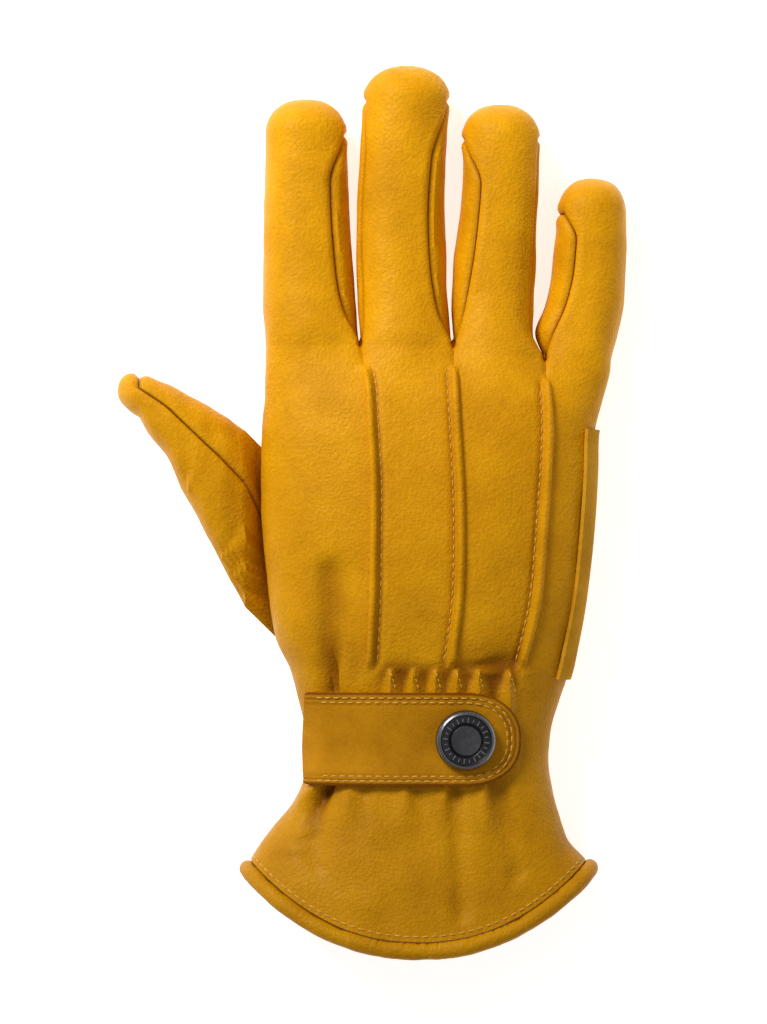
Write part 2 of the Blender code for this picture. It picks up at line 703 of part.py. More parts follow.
def panel_solid(skin, normals, name, gap):
    """One panel cut out of the skin, thick, and drawn back from its seams."""
    label = skin.panels.index(name)
    faces = [f for f in skin.mesh.faces if f[skin.layer] == label]
    inward = {}
    rim = []
    for face in faces:
        for loop in face.loops:
            edge = loop.edge
            if sum(other[skin.layer] == label for other in edge.link_faces) == 1:
                way = edge_inward(edge, face)
                for vertex in edge.verts:
                    inward.setdefault(vertex, []).append(way)
                rim.append((loop.vert, loop.link_loop_next.vert))
    solid = bmesh.new()
    outer, inner = {}, {}
    for vertex in {v for face in faces for v in face.verts}:
        ways = inward.get(vertex, [])
        move = seam_move(ways, gap)
        normal = normals[vertex.index]
        relief = vertex[skin.relief] if not ways else 0.0
        outer[vertex] = solid.verts.new(vertex.co + move + normal.normalized() * relief)
        inner[vertex] = solid.verts.new(vertex.co + move - normal * LEATHER)
    for face in faces:
        solid.faces.new([outer[v] for v in face.verts])
        solid.faces.new([inner[v] for v in reversed(face.verts)])
    for a, b in rim:
        solid.faces.new((outer[b], outer[a], inner[a], inner[b]))
    bmesh.ops.triangulate(solid, faces=solid.faces, quad_method="SHORT_EDGE")
    return solid


def plain_material(name, colour, roughness, metallic=0.0):
    material = bpy.data.materials.new(name)
    material.use_nodes = True
    shader = material.node_tree.nodes["Principled BSDF"]
    shader.inputs["Base Color"].default_value = colour
    shader.inputs["Roughness"].default_value = roughness
    shader.inputs["Metallic"].default_value = metallic
    material.diffuse_color = colour
    return material


def add_object(name, solid, material):
    mesh = bpy.data.meshes.new(name)
    solid.to_mesh(mesh)
    solid.free()
    mesh.shade_smooth()
    mesh.set_sharp_from_angle(angle=SHARP_ANGLE)
    mesh.materials.append(material)
    thing = bpy.data.objects.new(name, mesh)
    bpy.context.scene.collection.objects.link(thing)
    return thing


def hem_ring():
    """The panels' edge at the cuff, and the row above it, right round the mouth."""
    rows = []
    for along in TRUNK_ROWS[:2]:
        row = []
        for strip in range(4):
            row += list(strip_row(strip, along, True))[:-1]
        for strip in (3, 2, 1, 0):
            row += list(strip_row(strip, along, False))[:0:-1]
        rows.append(np.array(row))
    return rows


def hem_solid():
    """The rolled hem: a closed tube that follows the edge of the cuff."""
    edge, above = hem_ring()
    radius = HEM_ROLL / 2
    solid = bmesh.new()
    loops = []
    count = len(edge)
    for n in range(count):
        outward = Vector(edge[n] - above[n]).normalized()
        around = Vector(edge[(n + 1) % count] - edge[n - 1]).normalized()
        normal = outward.cross(around).normalized()
        outward = around.cross(normal).normalized()
        centre = Vector(edge[n]) - normal * LEATHER / 2 + outward * (radius + SEAM_GAP / 2)
        ring = []
        for side in range(HEM_SIDES):
            turn = 2 * math.pi * side / HEM_SIDES
            ring.append(solid.verts.new(centre + radius * (math.cos(turn) * outward + math.sin(turn) * normal)))
        loops.append(ring)
    for n in range(count):
        here, after = loops[n], loops[(n + 1) % count]
        for side in range(HEM_SIDES):
            up = (side + 1) % HEM_SIDES
            solid.faces.new((here[side], here[up], after[up], after[side]))
    bmesh.ops.recalc_face_normals(solid, faces=solid.faces)
    bmesh.ops.triangulate(solid, faces=solid.faces)
    return solid


def shell(rows, low, high):
    """A closed sheet between two heights over a grid of points."""
    sheet = bmesh.new()
    grid = [[sheet.verts.new(Vector([float(c) for c in point])) for point in row] for row in rows]
    faces = []
    for lower, upper in zip(grid, grid[1:]):
        for n in range(len(lower) - 1):
            faces.append(sheet.faces.new((lower[n], lower[n + 1], upper[n + 1], upper[n])))
    sheet.normal_update()
    sheet.verts.index_update()
    ways = mitred_normals(sheet)
    solid = bmesh.new()
    under = [solid.verts.new(v.co + ways[v.index] * low) for v in sheet.verts]
    over = [solid.verts.new(v.co + ways[v.index] * high) for v in sheet.verts]
    for face in faces:
        places = [v.index for v in face.verts]
        solid.faces.new([over[n] for n in places])
        solid.faces.new([under[n] for n in reversed(places)])
    for edge in sheet.edges:
        if len(edge.link_faces) == 1:
            a, b = (loop.vert.index for loop in (edge.link_loops[0], edge.link_loops[0].link_loop_next))
            solid.faces.new((over[b], over[a], under[a], under[b]))
    sheet.free()
    bmesh.ops.recalc_face_normals(solid, faces=solid.faces)
    bmesh.ops.triangulate(solid, faces=solid.faces)
    return solid


def strap_point(x, y):
    """A place on the trunk under the strap, which bridges the dents."""
    along = y / HAND_LENGTH if y > 0 else y / CUFF_LENGTH
    angle = trunk_angle_at(along, x, True)
    px, pz = trunk_point(along, angle, dented=False)
    return np.array([float(px), y, float(pz)])


def strap_half_width(x):
    """Half the strap's width, which closes in a blunt round end."""
    start, tip = STRAP_ROUND * HAND_WIDTH, STRAP_TIP * HAND_WIDTH
    share = np.clip((x - start) / (tip - start), 0, 1)
    return STRAP_WIDTH / 2 * (1 - share ** STRAP_END_ROUNDNESS) ** (1 / STRAP_END_ROUNDNESS)


def strap_solid():
    middle = STRAP_ALONG * HAND_LENGTH
    left, right, _, _ = trunk_section(STRAP_ALONG)
    first = trunk_angle_at(STRAP_ALONG, STRAP_START * HAND_WIDTH, True)
    end = STRAP_ROUND + STRAP_LAST * (STRAP_TIP - STRAP_ROUND)
    last = trunk_angle_at(STRAP_ALONG, end * HAND_WIDTH, True)
    columns = []
    for n in range(STRAP_COLUMNS + 1):
        share = 1 - (1 - n / STRAP_COLUMNS) ** STRAP_CROWDING
        angle = first + (last - first) * share
        x = (left + right) / 2 + (right - left) / 2 * float(power(math.cos(angle), 2 / TOP_ROUNDNESS))
        half = float(strap_half_width(x))
        places = [middle + half * (2 * row / STRAP_ROWS - 1) for row in range(STRAP_ROWS + 1)]
        columns.append([strap_point(x, y) for y in places])
    rows = [[column[row] for column in columns] for row in range(STRAP_ROWS + 1)]
    return shell(rows, STRAP_CLEARANCE, STRAP_CLEARANCE + STRAP_THICKNESS)


def turned(profile, sides):
    """A solid turned round Z from (radius, height) points that start and end on the axis."""
    solid = bmesh.new()
    rings = []
    for radius, height in profile:
        if radius == 0:
            rings.append([solid.verts.new((0, 0, height))] * sides)
            continue
        turns = [2 * math.pi * n / sides for n in range(sides)]
        rings.append([solid.verts.new((radius * math.cos(t), radius * math.sin(t), height)) for t in turns])
    for low, high in zip(rings, rings[1:]):
        for n in range(sides):
            after = (n + 1) % sides
            corners = []
            for vertex in (low[n], low[after], high[after], high[n]):
                if vertex not in corners:
                    corners.append(vertex)
            if len(corners) > 2:
                solid.faces.new(corners)
    bmesh.ops.recalc_face_normals(solid, faces=solid.faces)
    bmesh.ops.triangulate(solid, faces=solid.faces)
    return solid


def snap_seat():
    """Where the snap stands on the strap: its foot and the way it faces."""
    x, y = SNAP_X * HAND_WIDTH, STRAP_ALONG * HAND_LENGTH
    step = SNAP_DIAMETER / 2
    here, left, right = (strap_point(x + move, y) for move in (0, -step, step))
    down, up = strap_point(x, y - step), strap_point(x, y + step)
    facing = Vector(right - left).cross(Vector(up - down)).normalized()
    rise = max(facing.dot(Vector(point - here)) for point in (left, right, down, up))
    return Vector(here) + facing * (STRAP_CLEARANCE + STRAP_THICKNESS + SNAP_CLEARANCE + max(rise, 0)), facing


def snap_solid():
    """A domed cap with a raised rim, a sunken ring and a flat middle, and its post."""
    radius, height = SNAP_DIAMETER / 2, SNAP_HEIGHT
    post = SNAP_POST_DIAMETER / 2
    profile = [(0, -STRAP_THICKNESS), (post, -STRAP_THICKNESS), (post, 0)]
    profile += [(across * radius, up * height) for across, up in SNAP_PROFILE]
    return turned(profile, SNAP_SIDES)


def patch_solid():
    """The heel patch, which wraps the right edge from the back onto the palm."""
    rows = []
    for along in TRUNK_ROWS:
        if not PATCH_END - TINY <= along <= PATCH_START + TINY:
            continue
        back = list(strip_row(3, along, True))[PATCH_BACK_COLUMN:]
        palm = list(strip_row(3, along, False))[:-1][::-1]
        inner = list(strip_row(2, along, False))[PATCH_PALM_COLUMN:-1][::-1]
        rows.append(back + palm + inner)
    return shell(rows, SEAM_GAP, SEAM_GAP + PATCH_THICKNESS)


def cut_post_hole(strap, foot, facing):
    """Cuts the hole in the strap that the snap's post passes through."""
    cutter = bpy.data.meshes.new("post_hole")
    solid = bmesh.new()
    radius = SNAP_POST_DIAMETER / 2 + SNAP_CLEARANCE
    bmesh.ops.create_cone(solid, cap_ends=True, segments=POST_HOLE_SIDES, radius1=radius, radius2=radius,
                          depth=6 * STRAP_THICKNESS)
    solid.to_mesh(cutter)
    solid.free()
    hole = bpy.data.objects.new("post_hole", cutter)
    bpy.context.scene.collection.objects.link(hole)
    hole.location = foot
    hole.rotation_mode = "QUATERNION"
    hole.rotation_quaternion = facing.to_track_quat("Z", "Y")
    hole.hide_render = True
    hole.display_type = "WIRE"
    cut = strap.modifiers.new("post_hole", "BOOLEAN")
    cut.operation = "DIFFERENCE"
    cut.object = hole
    return hole


def centre_on_floor(pieces, guides):
    """Moves everything so that the glove's box is centred on X and Y and stands on Z 0."""
    corners = np.array([tuple(piece.matrix_world @ vertex.co)
                        for piece in pieces for vertex in piece.data.vertices])
    low, high = corners.min(0), corners.max(0)
    shift = -Vector(((low[0] + high[0]) / 2, (low[1] + high[1]) / 2, low[2]))
    for thing in pieces + guides:
        thing.location += shift


for old in list(bpy.data.objects):
    bpy.data.objects.remove(old, do_unlink=True)

skin = Skin()
add_trunk(skin)
add_fingers(skin)
add_thumb(skin)
skin.weld()
normals = mitred_normals(skin.mesh)
leather = plain_material("leather", LEATHER_COLOUR, 0.55)
suede = plain_material("suede", SUEDE_COLOUR, 0.85)
nubuck = plain_material("nubuck", STRAP_COLOUR, 0.75)
metal = plain_material("metal", METAL_COLOUR, 0.35, 1.0)
pieces = [add_object(panel, panel_solid(skin, normals, panel, SEAM_GAP), leather) for panel in skin.panels]
skin.mesh.free()
pieces.append(add_object("hem_roll", hem_solid(), leather))
pieces.append(add_object("palm_patch", patch_solid(), suede))
wrist_strap = add_object("wrist_strap", strap_solid(), nubuck)
snap_cap = add_object("snap_cap", snap_solid(), metal)
seat, facing = snap_seat()
snap_cap.location = seat
snap_cap.rotation_mode = "QUATERNION"
snap_cap.rotation_quaternion = facing.to_track_quat("Z", "Y")
pieces += [wrist_strap, snap_cap]
post_hole = cut_post_hole(wrist_strap, seat, facing)
bpy.context.view_layer.update()
centre_on_floor(pieces, [post_hole])
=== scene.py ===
"""The looks of a short leather motorcycle glove that lies palm down.

The leather panels are worked out as fine surfaces in the place of the plain
solids: the skin of the glove first, then its panels with rolled seams, tucks,
gathers and wrinkles, then the stitches, the strap, the snap and the hem.
Lengths are in metres.
"""

import math

import bmesh
import bpy
import numpy as np
from mathutils import Matrix, Vector, noise
from mathutils.bvhtree import BVHTree
from mathutils.kdtree import KDTree


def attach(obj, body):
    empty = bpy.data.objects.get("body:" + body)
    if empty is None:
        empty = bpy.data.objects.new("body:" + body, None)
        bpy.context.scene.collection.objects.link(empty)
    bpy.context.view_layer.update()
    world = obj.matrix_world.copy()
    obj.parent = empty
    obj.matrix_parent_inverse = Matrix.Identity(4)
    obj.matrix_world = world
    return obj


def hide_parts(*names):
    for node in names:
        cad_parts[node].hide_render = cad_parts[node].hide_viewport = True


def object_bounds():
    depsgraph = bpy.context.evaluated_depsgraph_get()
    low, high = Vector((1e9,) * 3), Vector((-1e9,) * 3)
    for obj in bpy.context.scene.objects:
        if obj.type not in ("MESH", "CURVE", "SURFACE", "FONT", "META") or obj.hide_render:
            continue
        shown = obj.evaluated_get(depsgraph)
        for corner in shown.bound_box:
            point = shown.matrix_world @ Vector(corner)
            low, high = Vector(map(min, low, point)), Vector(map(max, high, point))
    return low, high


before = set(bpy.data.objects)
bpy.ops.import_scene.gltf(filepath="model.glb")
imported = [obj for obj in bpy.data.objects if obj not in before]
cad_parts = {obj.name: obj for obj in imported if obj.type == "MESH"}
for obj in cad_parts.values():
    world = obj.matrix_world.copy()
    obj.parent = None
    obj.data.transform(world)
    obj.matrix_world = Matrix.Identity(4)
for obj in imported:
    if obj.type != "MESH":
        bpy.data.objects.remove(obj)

CAD_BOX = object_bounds()

# Driving sizes of the whole glove
HAND_WIDTH = 0.094
HAND_DEPTH = 0.035
HAND_LENGTH = 0.1095  # from the middle of the strap to the finger crotches
CUFF_LENGTH = 0.0591  # from the middle of the strap to the lowest point of the hem
HEM_SAG = 0.0215  # how far the middle of the hem hangs below its two ends
INDEX_LENGTH = 0.0692
MIDDLE_LENGTH = 0.0788
RING_LENGTH = 0.0683
LITTLE_LENGTH = 0.0512
FINGER_DEPTH = 0.0205
FINGERTIP = 0.0100  # length of the rounded cap of a finger
THUMB_REACH = 0.0410  # from the hand's left edge to the tip of the thumb
THUMB_DEPTH = 0.0210

# Leather and seams
LEATHER = 0.0012
SEAM_GAP = 0.0003
WEB_BOW = 0.0028  # how far the web between two fingers curves toward the tips
TUCK_WIDTH = 0.0024
TUCK_HEIGHT = 0.0018
PLEAT_HEIGHT = 0.0014
KNUCKLE_DIP = 0.0050  # depth of the valley at a finger crotch
KNUCKLE_REACH = 0.0160  # length over which that valley fades out

# Strap, snap, hem and patch
STRAP_WIDTH = 0.0262
STRAP_THICKNESS = 0.0022
STRAP_CLEARANCE = 0.0006
SNAP_DIAMETER = 0.0168
SNAP_HEIGHT = 0.0026
SNAP_CLEARANCE = 0.0003
HEM_ROLL = 0.0047
PATCH_THICKNESS = 0.0012

# Sections of the trunk. along is a share of CUFF_LENGTH below the strap's
# middle and of HAND_LENGTH above it, left and right are shares of HAND_WIDTH
# from the glove's middle line, and top is a share of HAND_DEPTH.
TRUNK = (
    # along, left, right, top
    (-0.578, -0.357, 0.637, 1.06),
    (-0.50, -0.325, 0.592, 1.04),
    (-0.42, -0.290, 0.569, 1.01),
    (-0.33, -0.238, 0.551, 0.97),
    (-0.24, -0.207, 0.537, 0.94),
    (-0.15, -0.195, 0.528, 0.92),
    (-0.05, -0.190, 0.527, 0.91),
    (0.03, -0.197, 0.533, 0.92),
    (0.10, -0.217, 0.558, 0.94),
    (0.18, -0.240, 0.588, 0.97),
    (0.23, -0.268, 0.600, 0.98),
    (0.30, -0.292, 0.616, 0.99),
    (0.42, -0.310, 0.636, 1.00),
    (0.55, -0.324, 0.651, 1.00),
    (0.68, -0.325, 0.660, 0.98),
    (0.79, -0.324, 0.664, 0.94),
    (0.87, -0.317, 0.681, 0.89),
    (0.94, -0.316, 0.697, 0.840),
    (1.00, -0.315, 0.715, 0.812),
    (1.04, -0.315, 0.722, 0.807),
)
HEM_ROW, SECOND_ROW = TRUNK[0][0], -0.50
HEM_FADE = -0.14  # where the hem's sag has faded out
SAG_CURVE = 2.2
TRUNK_MIDDLE = 0.44  # height of the widest point, a share of HAND_DEPTH
TRUNK_UNDER = 0.06  # how far the uncut form would reach below the surface
TOP_ROUNDNESS = 2.5
UNDER_ROUNDNESS = 2.8

# The three lines that the tucks follow and that end in the finger crotches,
# as shares of HAND_WIDTH from the middle line.
TUCK_LINES = (
    # along, first, second, third
    (-0.578, 0.010, 0.205, 0.400),
    (0.00, -0.003, 0.220, 0.396),
    (0.19, -0.003, 0.235, 0.446),
    (0.35, 0.006, 0.259, 0.488),
    (0.50, 0.009, 0.265, 0.505),
    (0.65, 0.009, 0.262, 0.518),
    (0.80, 0.000, 0.253, 0.525),
    (0.91, -0.009, 0.247, 0.521),
    (1.00, -0.032, 0.244, 0.516),
)
TUCK_START = 0.19
TUCK_END = 0.955

# How far the crotch row lies below the middle finger's, at the left edge, the
# three crotches and the right edge, as shares of HAND_LENGTH.
CROTCH_DROP = (0.0, 0.0, 0.003, 0.037, 0.055)
CROTCH_DROP_START = 0.72

# Fingers. along is a share of the finger's length from its crotch, left and
# right are shares of HAND_WIDTH from the middle line, top is a share of
# FINGER_DEPTH, and back_left and back_right say where the seams of the back
# lie, as shares of the finger's half width.
INDEX = (
    # along, left, right, top, back_left, back_right
    (0.00, -0.315, -0.036, 1.24, -1.0, 0.96),
    (0.06, -0.317, -0.040, 1.22, -1.0, 0.86),
    (0.20, -0.321, -0.049, 1.16, -1.0, 0.70),
    (0.40, -0.318, -0.058, 1.10, -1.0, 0.61),
    (0.60, -0.315, -0.068, 1.04, -1.0, 0.60),
    (0.80, -0.314, -0.074, 0.98, -1.0, 0.64),
    (0.90, -0.314, -0.075, 0.96, -1.0, 0.70),
)
MIDDLE = (
    (0.00, -0.028, 0.240, 1.32, -0.96, 0.96),
    (0.06, -0.034, 0.236, 1.29, -0.92, 0.84),
    (0.20, -0.040, 0.228, 1.22, -0.90, 0.70),
    (0.35, -0.045, 0.223, 1.15, -0.90, 0.64),
    (0.50, -0.041, 0.220, 1.10, -0.91, 0.64),
    (0.70, -0.030, 0.226, 1.05, -0.91, 0.68),
    (0.88, -0.021, 0.232, 1.00, -0.92, 0.74),
)
RING = (
    (0.00, 0.249, 0.511, 1.26, -0.96, 0.96),
    (0.07, 0.243, 0.484, 1.22, -0.84, 0.94),
    (0.20, 0.238, 0.482, 1.16, -0.66, 0.93),
    (0.35, 0.246, 0.488, 1.10, -0.56, 0.94),
    (0.50, 0.260, 0.491, 1.06, -0.54, 0.95),
    (0.70, 0.271, 0.500, 1.00, -0.54, 0.95),
    (0.87, 0.271, 0.503, 0.96, -0.62, 0.95),
)
LITTLE = (
    (0.00, 0.520, 0.711, 1.10, -0.96, 1.0),
    (0.06, 0.505, 0.720, 1.08, -0.80, 1.0),
    (0.14, 0.490, 0.731, 1.05, -0.62, 1.0),
    (0.30, 0.518, 0.750, 1.01, -0.52, 1.0),
    (0.45, 0.536, 0.756, 0.98, -0.46, 1.0),
    (0.60, 0.545, 0.759, 0.95, -0.44, 1.0),
    (0.85, 0.560, 0.759, 0.92, -0.50, 1.0),
)
FINGERS = (
    # name, table, length, side panel on the left, side panel on the right
    ("index", INDEX, INDEX_LENGTH, None, "fourchette_index_middle"),
    ("middle", MIDDLE, MIDDLE_LENGTH, "fourchette_index_middle", "fourchette_middle_ring"),
    ("ring", RING, RING_LENGTH, "fourchette_middle_ring", "fourchette_ring_little"),
    ("little", LITTLE, LITTLE_LENGTH, "fourchette_ring_little", None),
)
FINGER_MIDDLE = 0.50  # height of a finger's widest point, a share of FINGER_DEPTH
FINGER_UNDER = 0.03
FINGER_ROUNDNESS = 2.2
PALM_SEAM = 0.80  # where the palm's seams lie, a share of the half width
SIDE_SEAM = 0.22  # angle below the widest point of the hand's side seams
TIP_DROP = 0.16  # how far the end of a fingertip lies below its middle
CAP_ROUNDNESS = 2.3
PULL_FADE = 3.0  # how fast a row returns to its form away from its two ends
PALM_VALLEY = 0.7  # the valley on the palm, a share of the one on the back
FINGER_BLEND = 0.0190  # length over which a finger takes its own section
WALL_STEEPNESS = 45.0  # how upright a finger's side stands at its crotch
WALL_REACH = 0.0028
SEAM_CLOSING = (0.66, 0.87)  # shares of a finger over which its side strips narrow
SEAM_END = 0.97

# Thumb. out is a share of THUMB_REACH from the hand's left edge, upper and
# lower are the two edges of the outline as shares of HAND_LENGTH above the
# strap, and depth is a share of THUMB_DEPTH.
THUMB = (
    # out, upper, lower, depth
    (0.13, 0.785, 0.333, 0.92),
    (0.27, 0.821, 0.435, 1.00),
    (0.42, 0.854, 0.537, 1.02),
    (0.55, 0.882, 0.627, 0.98),
    (0.66, 0.903, 0.708, 0.92),
    (0.76, 0.918, 0.760, 0.84),
    (0.85, 0.926, 0.818, 0.74),
)
THUMB_TIP = 0.890
THUMB_START = 0.742
THUMB_END = 0.230
THUMB_BITE = 0.19  # how far the thumb cuts into the palm, a share of HAND_WIDTH
THUMB_MIDDLE = 0.52
THUMB_ROUNDNESS = 2.2
THUMB_CAP_ROUNDNESS = 2.2
THUMB_BITE_CURVE = 0.8
THUMB_TIP_DROP = 0.1
THUMB_EDGE_AT = 0.5  # the trunk's section that the thumb is measured from
THUMB_ROOT_OUT = (0.13, 0.27, 0.42)
THUMB_ROOT = (0.25, 0.06, 0.0)  # how much of its root's height the thumb keeps there
THUMB_ROWS = 26
GUSSET_SHARE = 0.375  # how far the gusset reaches down each side of the thumb

# Dents and folds of the back: ends as (x, along), shares of HAND_WIDTH and of
# the lengths that TRUNK uses, reach as a share of HAND_WIDTH and depth as a
# share of HAND_DEPTH.
DENTS = (
    # x0, along0, x1, along1, reach, depth
    (-0.118, 0.42, -0.108, 0.13, 0.042, 0.075),
    (0.277, 0.20, 0.417, 0.20, 0.040, 0.040),
    (-0.128, -0.20, -0.165, -0.42, 0.040, 0.055),
    (0.247, -0.22, 0.268, -0.50, 0.028, 0.035),
    (0.380, -0.20, 0.430, -0.46, 0.028, 0.035),
)

# Pleats of the elastic gathers: x as shares of HAND_WIDTH.
PLEATS = (0.057, 0.125, 0.190, 0.252, 0.316, 0.407)
PLEAT_TIP = 0.173  # where a pleat begins, and where the strap covers it
PLEAT_FOOT = 0.118
PLEAT_WIDTH = (0.008, 0.027)  # half widths there, shares of HAND_WIDTH
PLEAT_HOLLOW = 0.0013

# Places on the strap, as shares of HAND_WIDTH from the middle line.
STRAP_START = -0.178
STRAP_ROUND = 0.270  # where its rounded end begins
STRAP_TIP = 0.432
STRAP_END_ROUNDNESS = 2.4
STRAP_LAST = 0.998  # the last column, short of the very tip
STRAP_CROWDING = 1.5
SNAP_X = 0.274
STRAP_ALONG = 0.002

# The patch, from and to as shares of HAND_LENGTH above the strap.
PATCH_START = 0.80
PATCH_END = 0.152
PATCH_PALM = 0.33  # inner edge of the patch on the palm, a share of HAND_WIDTH

# Slopes of the underside beside the patch and the hem, which rest on Z 0
PATCH_SIDE_SLOPE = (0.10, 0.03)
PATCH_END_SLOPE = (0.02, 0.10)
HEM_SLOPE = (HEM_ROW + 0.02, -0.36)

# Steps of the mesh
FINGER_ROWS = tuple(float(v) for v in np.linspace(0, 1, 66)[1:] ** 1.25)
CAP_ROWS = tuple(math.sin(math.pi / 2 * n / 12) for n in range(1, 13))
BACK_STEPS = 26
SIDE_STEPS = 12
PALM_STEPS = 21
OUTER_PALM_STEPS = 30
TUCK_STEP = 0.09
HEM_SIDES = 20
STRAP_COLUMNS = 110
STRAP_ROWS = 44
SNAP_SIDES = 96
TUCK_STEPS = 4
STITCH_SIDES = 6
TRUNK_PARTS = (
    # from, to, rows
    (HEM_ROW, 0.10, 70),
    (0.10, THUMB_END, 30),
    (THUMB_END, THUMB_START, 60),
    (THUMB_START, 1.0, 34),
)
WELD_REACH = 2e-5
TINY = 1e-6
MITRE_FLOOR, MITRE_LIMIT = 0.2, 1.35
CORNER_FLOOR = 0.4  # the least share of a panel's corner that counts
SHARP_ANGLE = 38.0

# Details that only the fine surface has
SEAM_DIP, SEAM_DIP_REACH, SEAM_DIP_CURVE = 0.00060, 0.00055, 1.5
SEAM_ROLL, SEAM_ROLL_AT, SEAM_ROLL_REACH = 0.00030, 0.0022, 0.0013
TUCK_FADE = (0.02, 0.03)
TUCK_GROOVE, TUCK_GROOVE_REACH = 0.0006, 0.0007
PLEAT_RISE = (-0.8, 0.4)  # 0 is a pleat's tip here and 1 its foot
PLEAT_FALL = (1.6, 2.4)
RIDGE_RISE = (-0.25, 0.1)
RIDGE_CURVE = 1.6
PLEAT_MARGIN = 0.05
GRAIN_FADE, FOLD_FADE = 0.003, 0.004  # lengths from a seam over which they set in
UPWARD, FOLD_FACING = (-0.8, -0.35), (0.1, 0.5)  # the faces' Z over which they set in
GROOVE_SHADE, FOLD_SHADE, GRAIN_SHADE = 0.7, 0.25, 0.4  # their shares in the painted shade of the creases
LEAST_HEIGHT = -0.55 * LEATHER
FLOOR_SKIN = 0.0004  # nothing swells toward the floor below this height
TUCK_STITCH = 0.00205  # from the middle of a tuck to its row of stitches
HEM_STITCH = 0.0016
STITCH_PITCH = 0.00255
STITCH_LENGTH = 0.00195
THREAD_RADIUS = 0.00021
STRAP_STITCHES = (0.0016, 0.0029)
PLEAT_STITCH = (0.0017, 0.0013)  # pitch and length
HEM_THREAD = 0.9 * THREAD_RADIUS
STITCH_LOOK, STITCH_LEAST = 1e-4, 1e-9
DROP_HEIGHT = 0.06  # from where stitches are dropped onto the leather
STITCH_SHAPE = (
    # along the stitch, height and width as shares of the thread's radius
    (0.00, -0.9, 0.35),
    (0.12, 0.1, 0.85),
    (0.30, 0.55, 1.0),
    (0.50, 0.65, 1.0),
    (0.70, 0.55, 1.0),
    (0.88, 0.1, 0.85),
    (1.00, -0.9, 0.35),
)
HEM_UNEVEN, HEM_NICK, HEM_SWELL = 0.00022, 0.00035, 0.0001
# The strap's unevenness, and the pressed depth at which its painted shade is full
STRAP_UNEVEN, STRAP_SHADE = 0.00012, 0.0003
STRAP_PRESS, STRAP_PRESS_REACH = 0.00045, 0.0006
STITCH_PRESS, STITCH_PRESS_REACH = 0.00022, 0.00035
PATCH_KEPT = 17  # columns of the back that the patch covers

# Snap: shares of its radius and of its height
SNAP_PROFILE = (
    (0, 0), (0.88, 0), (0.95, 0.06), (0.99, 0.22), (1, 0.40), (0.985, 0.60), (0.95, 0.80),
    (0.91, 0.93), (0.875, 0.985), (0.85, 0.97), (0.83, 0.88), (0.81, 0.78), (0.79, 0.75),
    (0.58, 0.78), (0.555, 0.72), (0.54, 0.64), (0.525, 0.64), (0.51, 0.74), (0.49, 0.84),
    (0.46, 0.875), (0.25, 0.90), (0, 0.91),
)
# How bright the snap's metal is by radius: the outer rim is partly worn bright and partly painted highlight
SNAP_WEAR_AND_HIGHLIGHT = (
    # outside this share of the radius, how bright
    (0.84, 0.40),
    (0.80, 0.15),
    (0.50, 0.0),
    (-1.0, 0.15),
)
SNAP_TICKS = 24
TICK_LENGTHS = (0.110, 0.170)
TICK_AT, TICK_LEVEL, TICK_WIDTH, TICK_HEIGHT, TICK_RUBBED = 0.685, 0.80, 0.030, 0.14, 0.7

# Uneven leather: broad swells, grain, and tighter creases at the wrist and thumb
SWELL_SCALE, SWELL = 42, 0.00040
GRAIN_SCALE, GRAIN_SHIFT, GRAIN = (170, 140, 150), (7, 1, 3), 0.00010
WRIST_BANDS = (
    # Y, reach, share
    (0.022, 0.020, 1.0),
    (-0.032, 0.016, 0.8),
)
WRIST_SCALE, WRIST_LEVEL, WRIST_CREASE = (95, 60), 0.7, 0.0007
THUMB_SIDE = (-0.030, -0.040)
THUMB_SCALES = ((120, 70), (-60, 50))  # its creases run aslant
THUMB_LEVEL, THUMB_CREASE = 0.75, 0.0009

FOLD_RISE = (-0.35, 0.15)  # 0 is a fold's first end and 1 its second
FOLD_FALL = (0.25, 1.25)
FOLD_WIDTH, FOLD_WIDENING, FOLD_WIDEST = 0.75, 0.9, 1.2
FOLD_ROLL_AT, FOLD_SPAN = 1.6, 4

# Creases of the photo: ends, reach, depth and the height of the roll beside
# them, all as shares of HAND_WIDTH, with Y from the middle of the strap.
FOLDS = (
    # x0, y0, x1, y1, reach, depth, roll
    (-0.104, 0.13, -0.112, 0.28, 0.013, 0.020, 0.014),
    (-0.045, 0.36, -0.060, 0.17, 0.015, 0.005, 0.004),
    (-0.118, -0.120, -0.178, -0.240, 0.017, 0.030, 0.021),
    (-0.020, -0.12, -0.040, -0.30, 0.024, 0.010, 0.010),
    (0.120, -0.12, 0.165, -0.25, 0.020, 0.011, 0.009),
    (0.240, -0.12, 0.255, -0.22, 0.017, 0.010, 0.008),
    (0.350, -0.115, 0.395, -0.28, 0.019, 0.012, 0.010),
    (0.31, 0.22, 0.44, 0.235, 0.015, 0.010, 0.008),
    (-0.20, -0.34, -0.29, -0.36, 0.010, 0.005, 0.004),
    (-0.17, -0.28, -0.25, -0.31, 0.009, 0.005, 0.004),
    (-0.20, -0.30, -0.27, -0.335, 0.008, 0.004, 0.003),
    (-0.560, 0.73, -0.535, 0.86, 0.012, 0.008, 0.006),
    (-0.475, 0.52, -0.360, 0.66, 0.012, 0.009, 0.007),
    (-0.450, 0.46, -0.345, 0.57, 0.011, 0.009, 0.007),
    (-0.410, 0.40, -0.335, 0.50, 0.010, 0.008, 0.006),
)

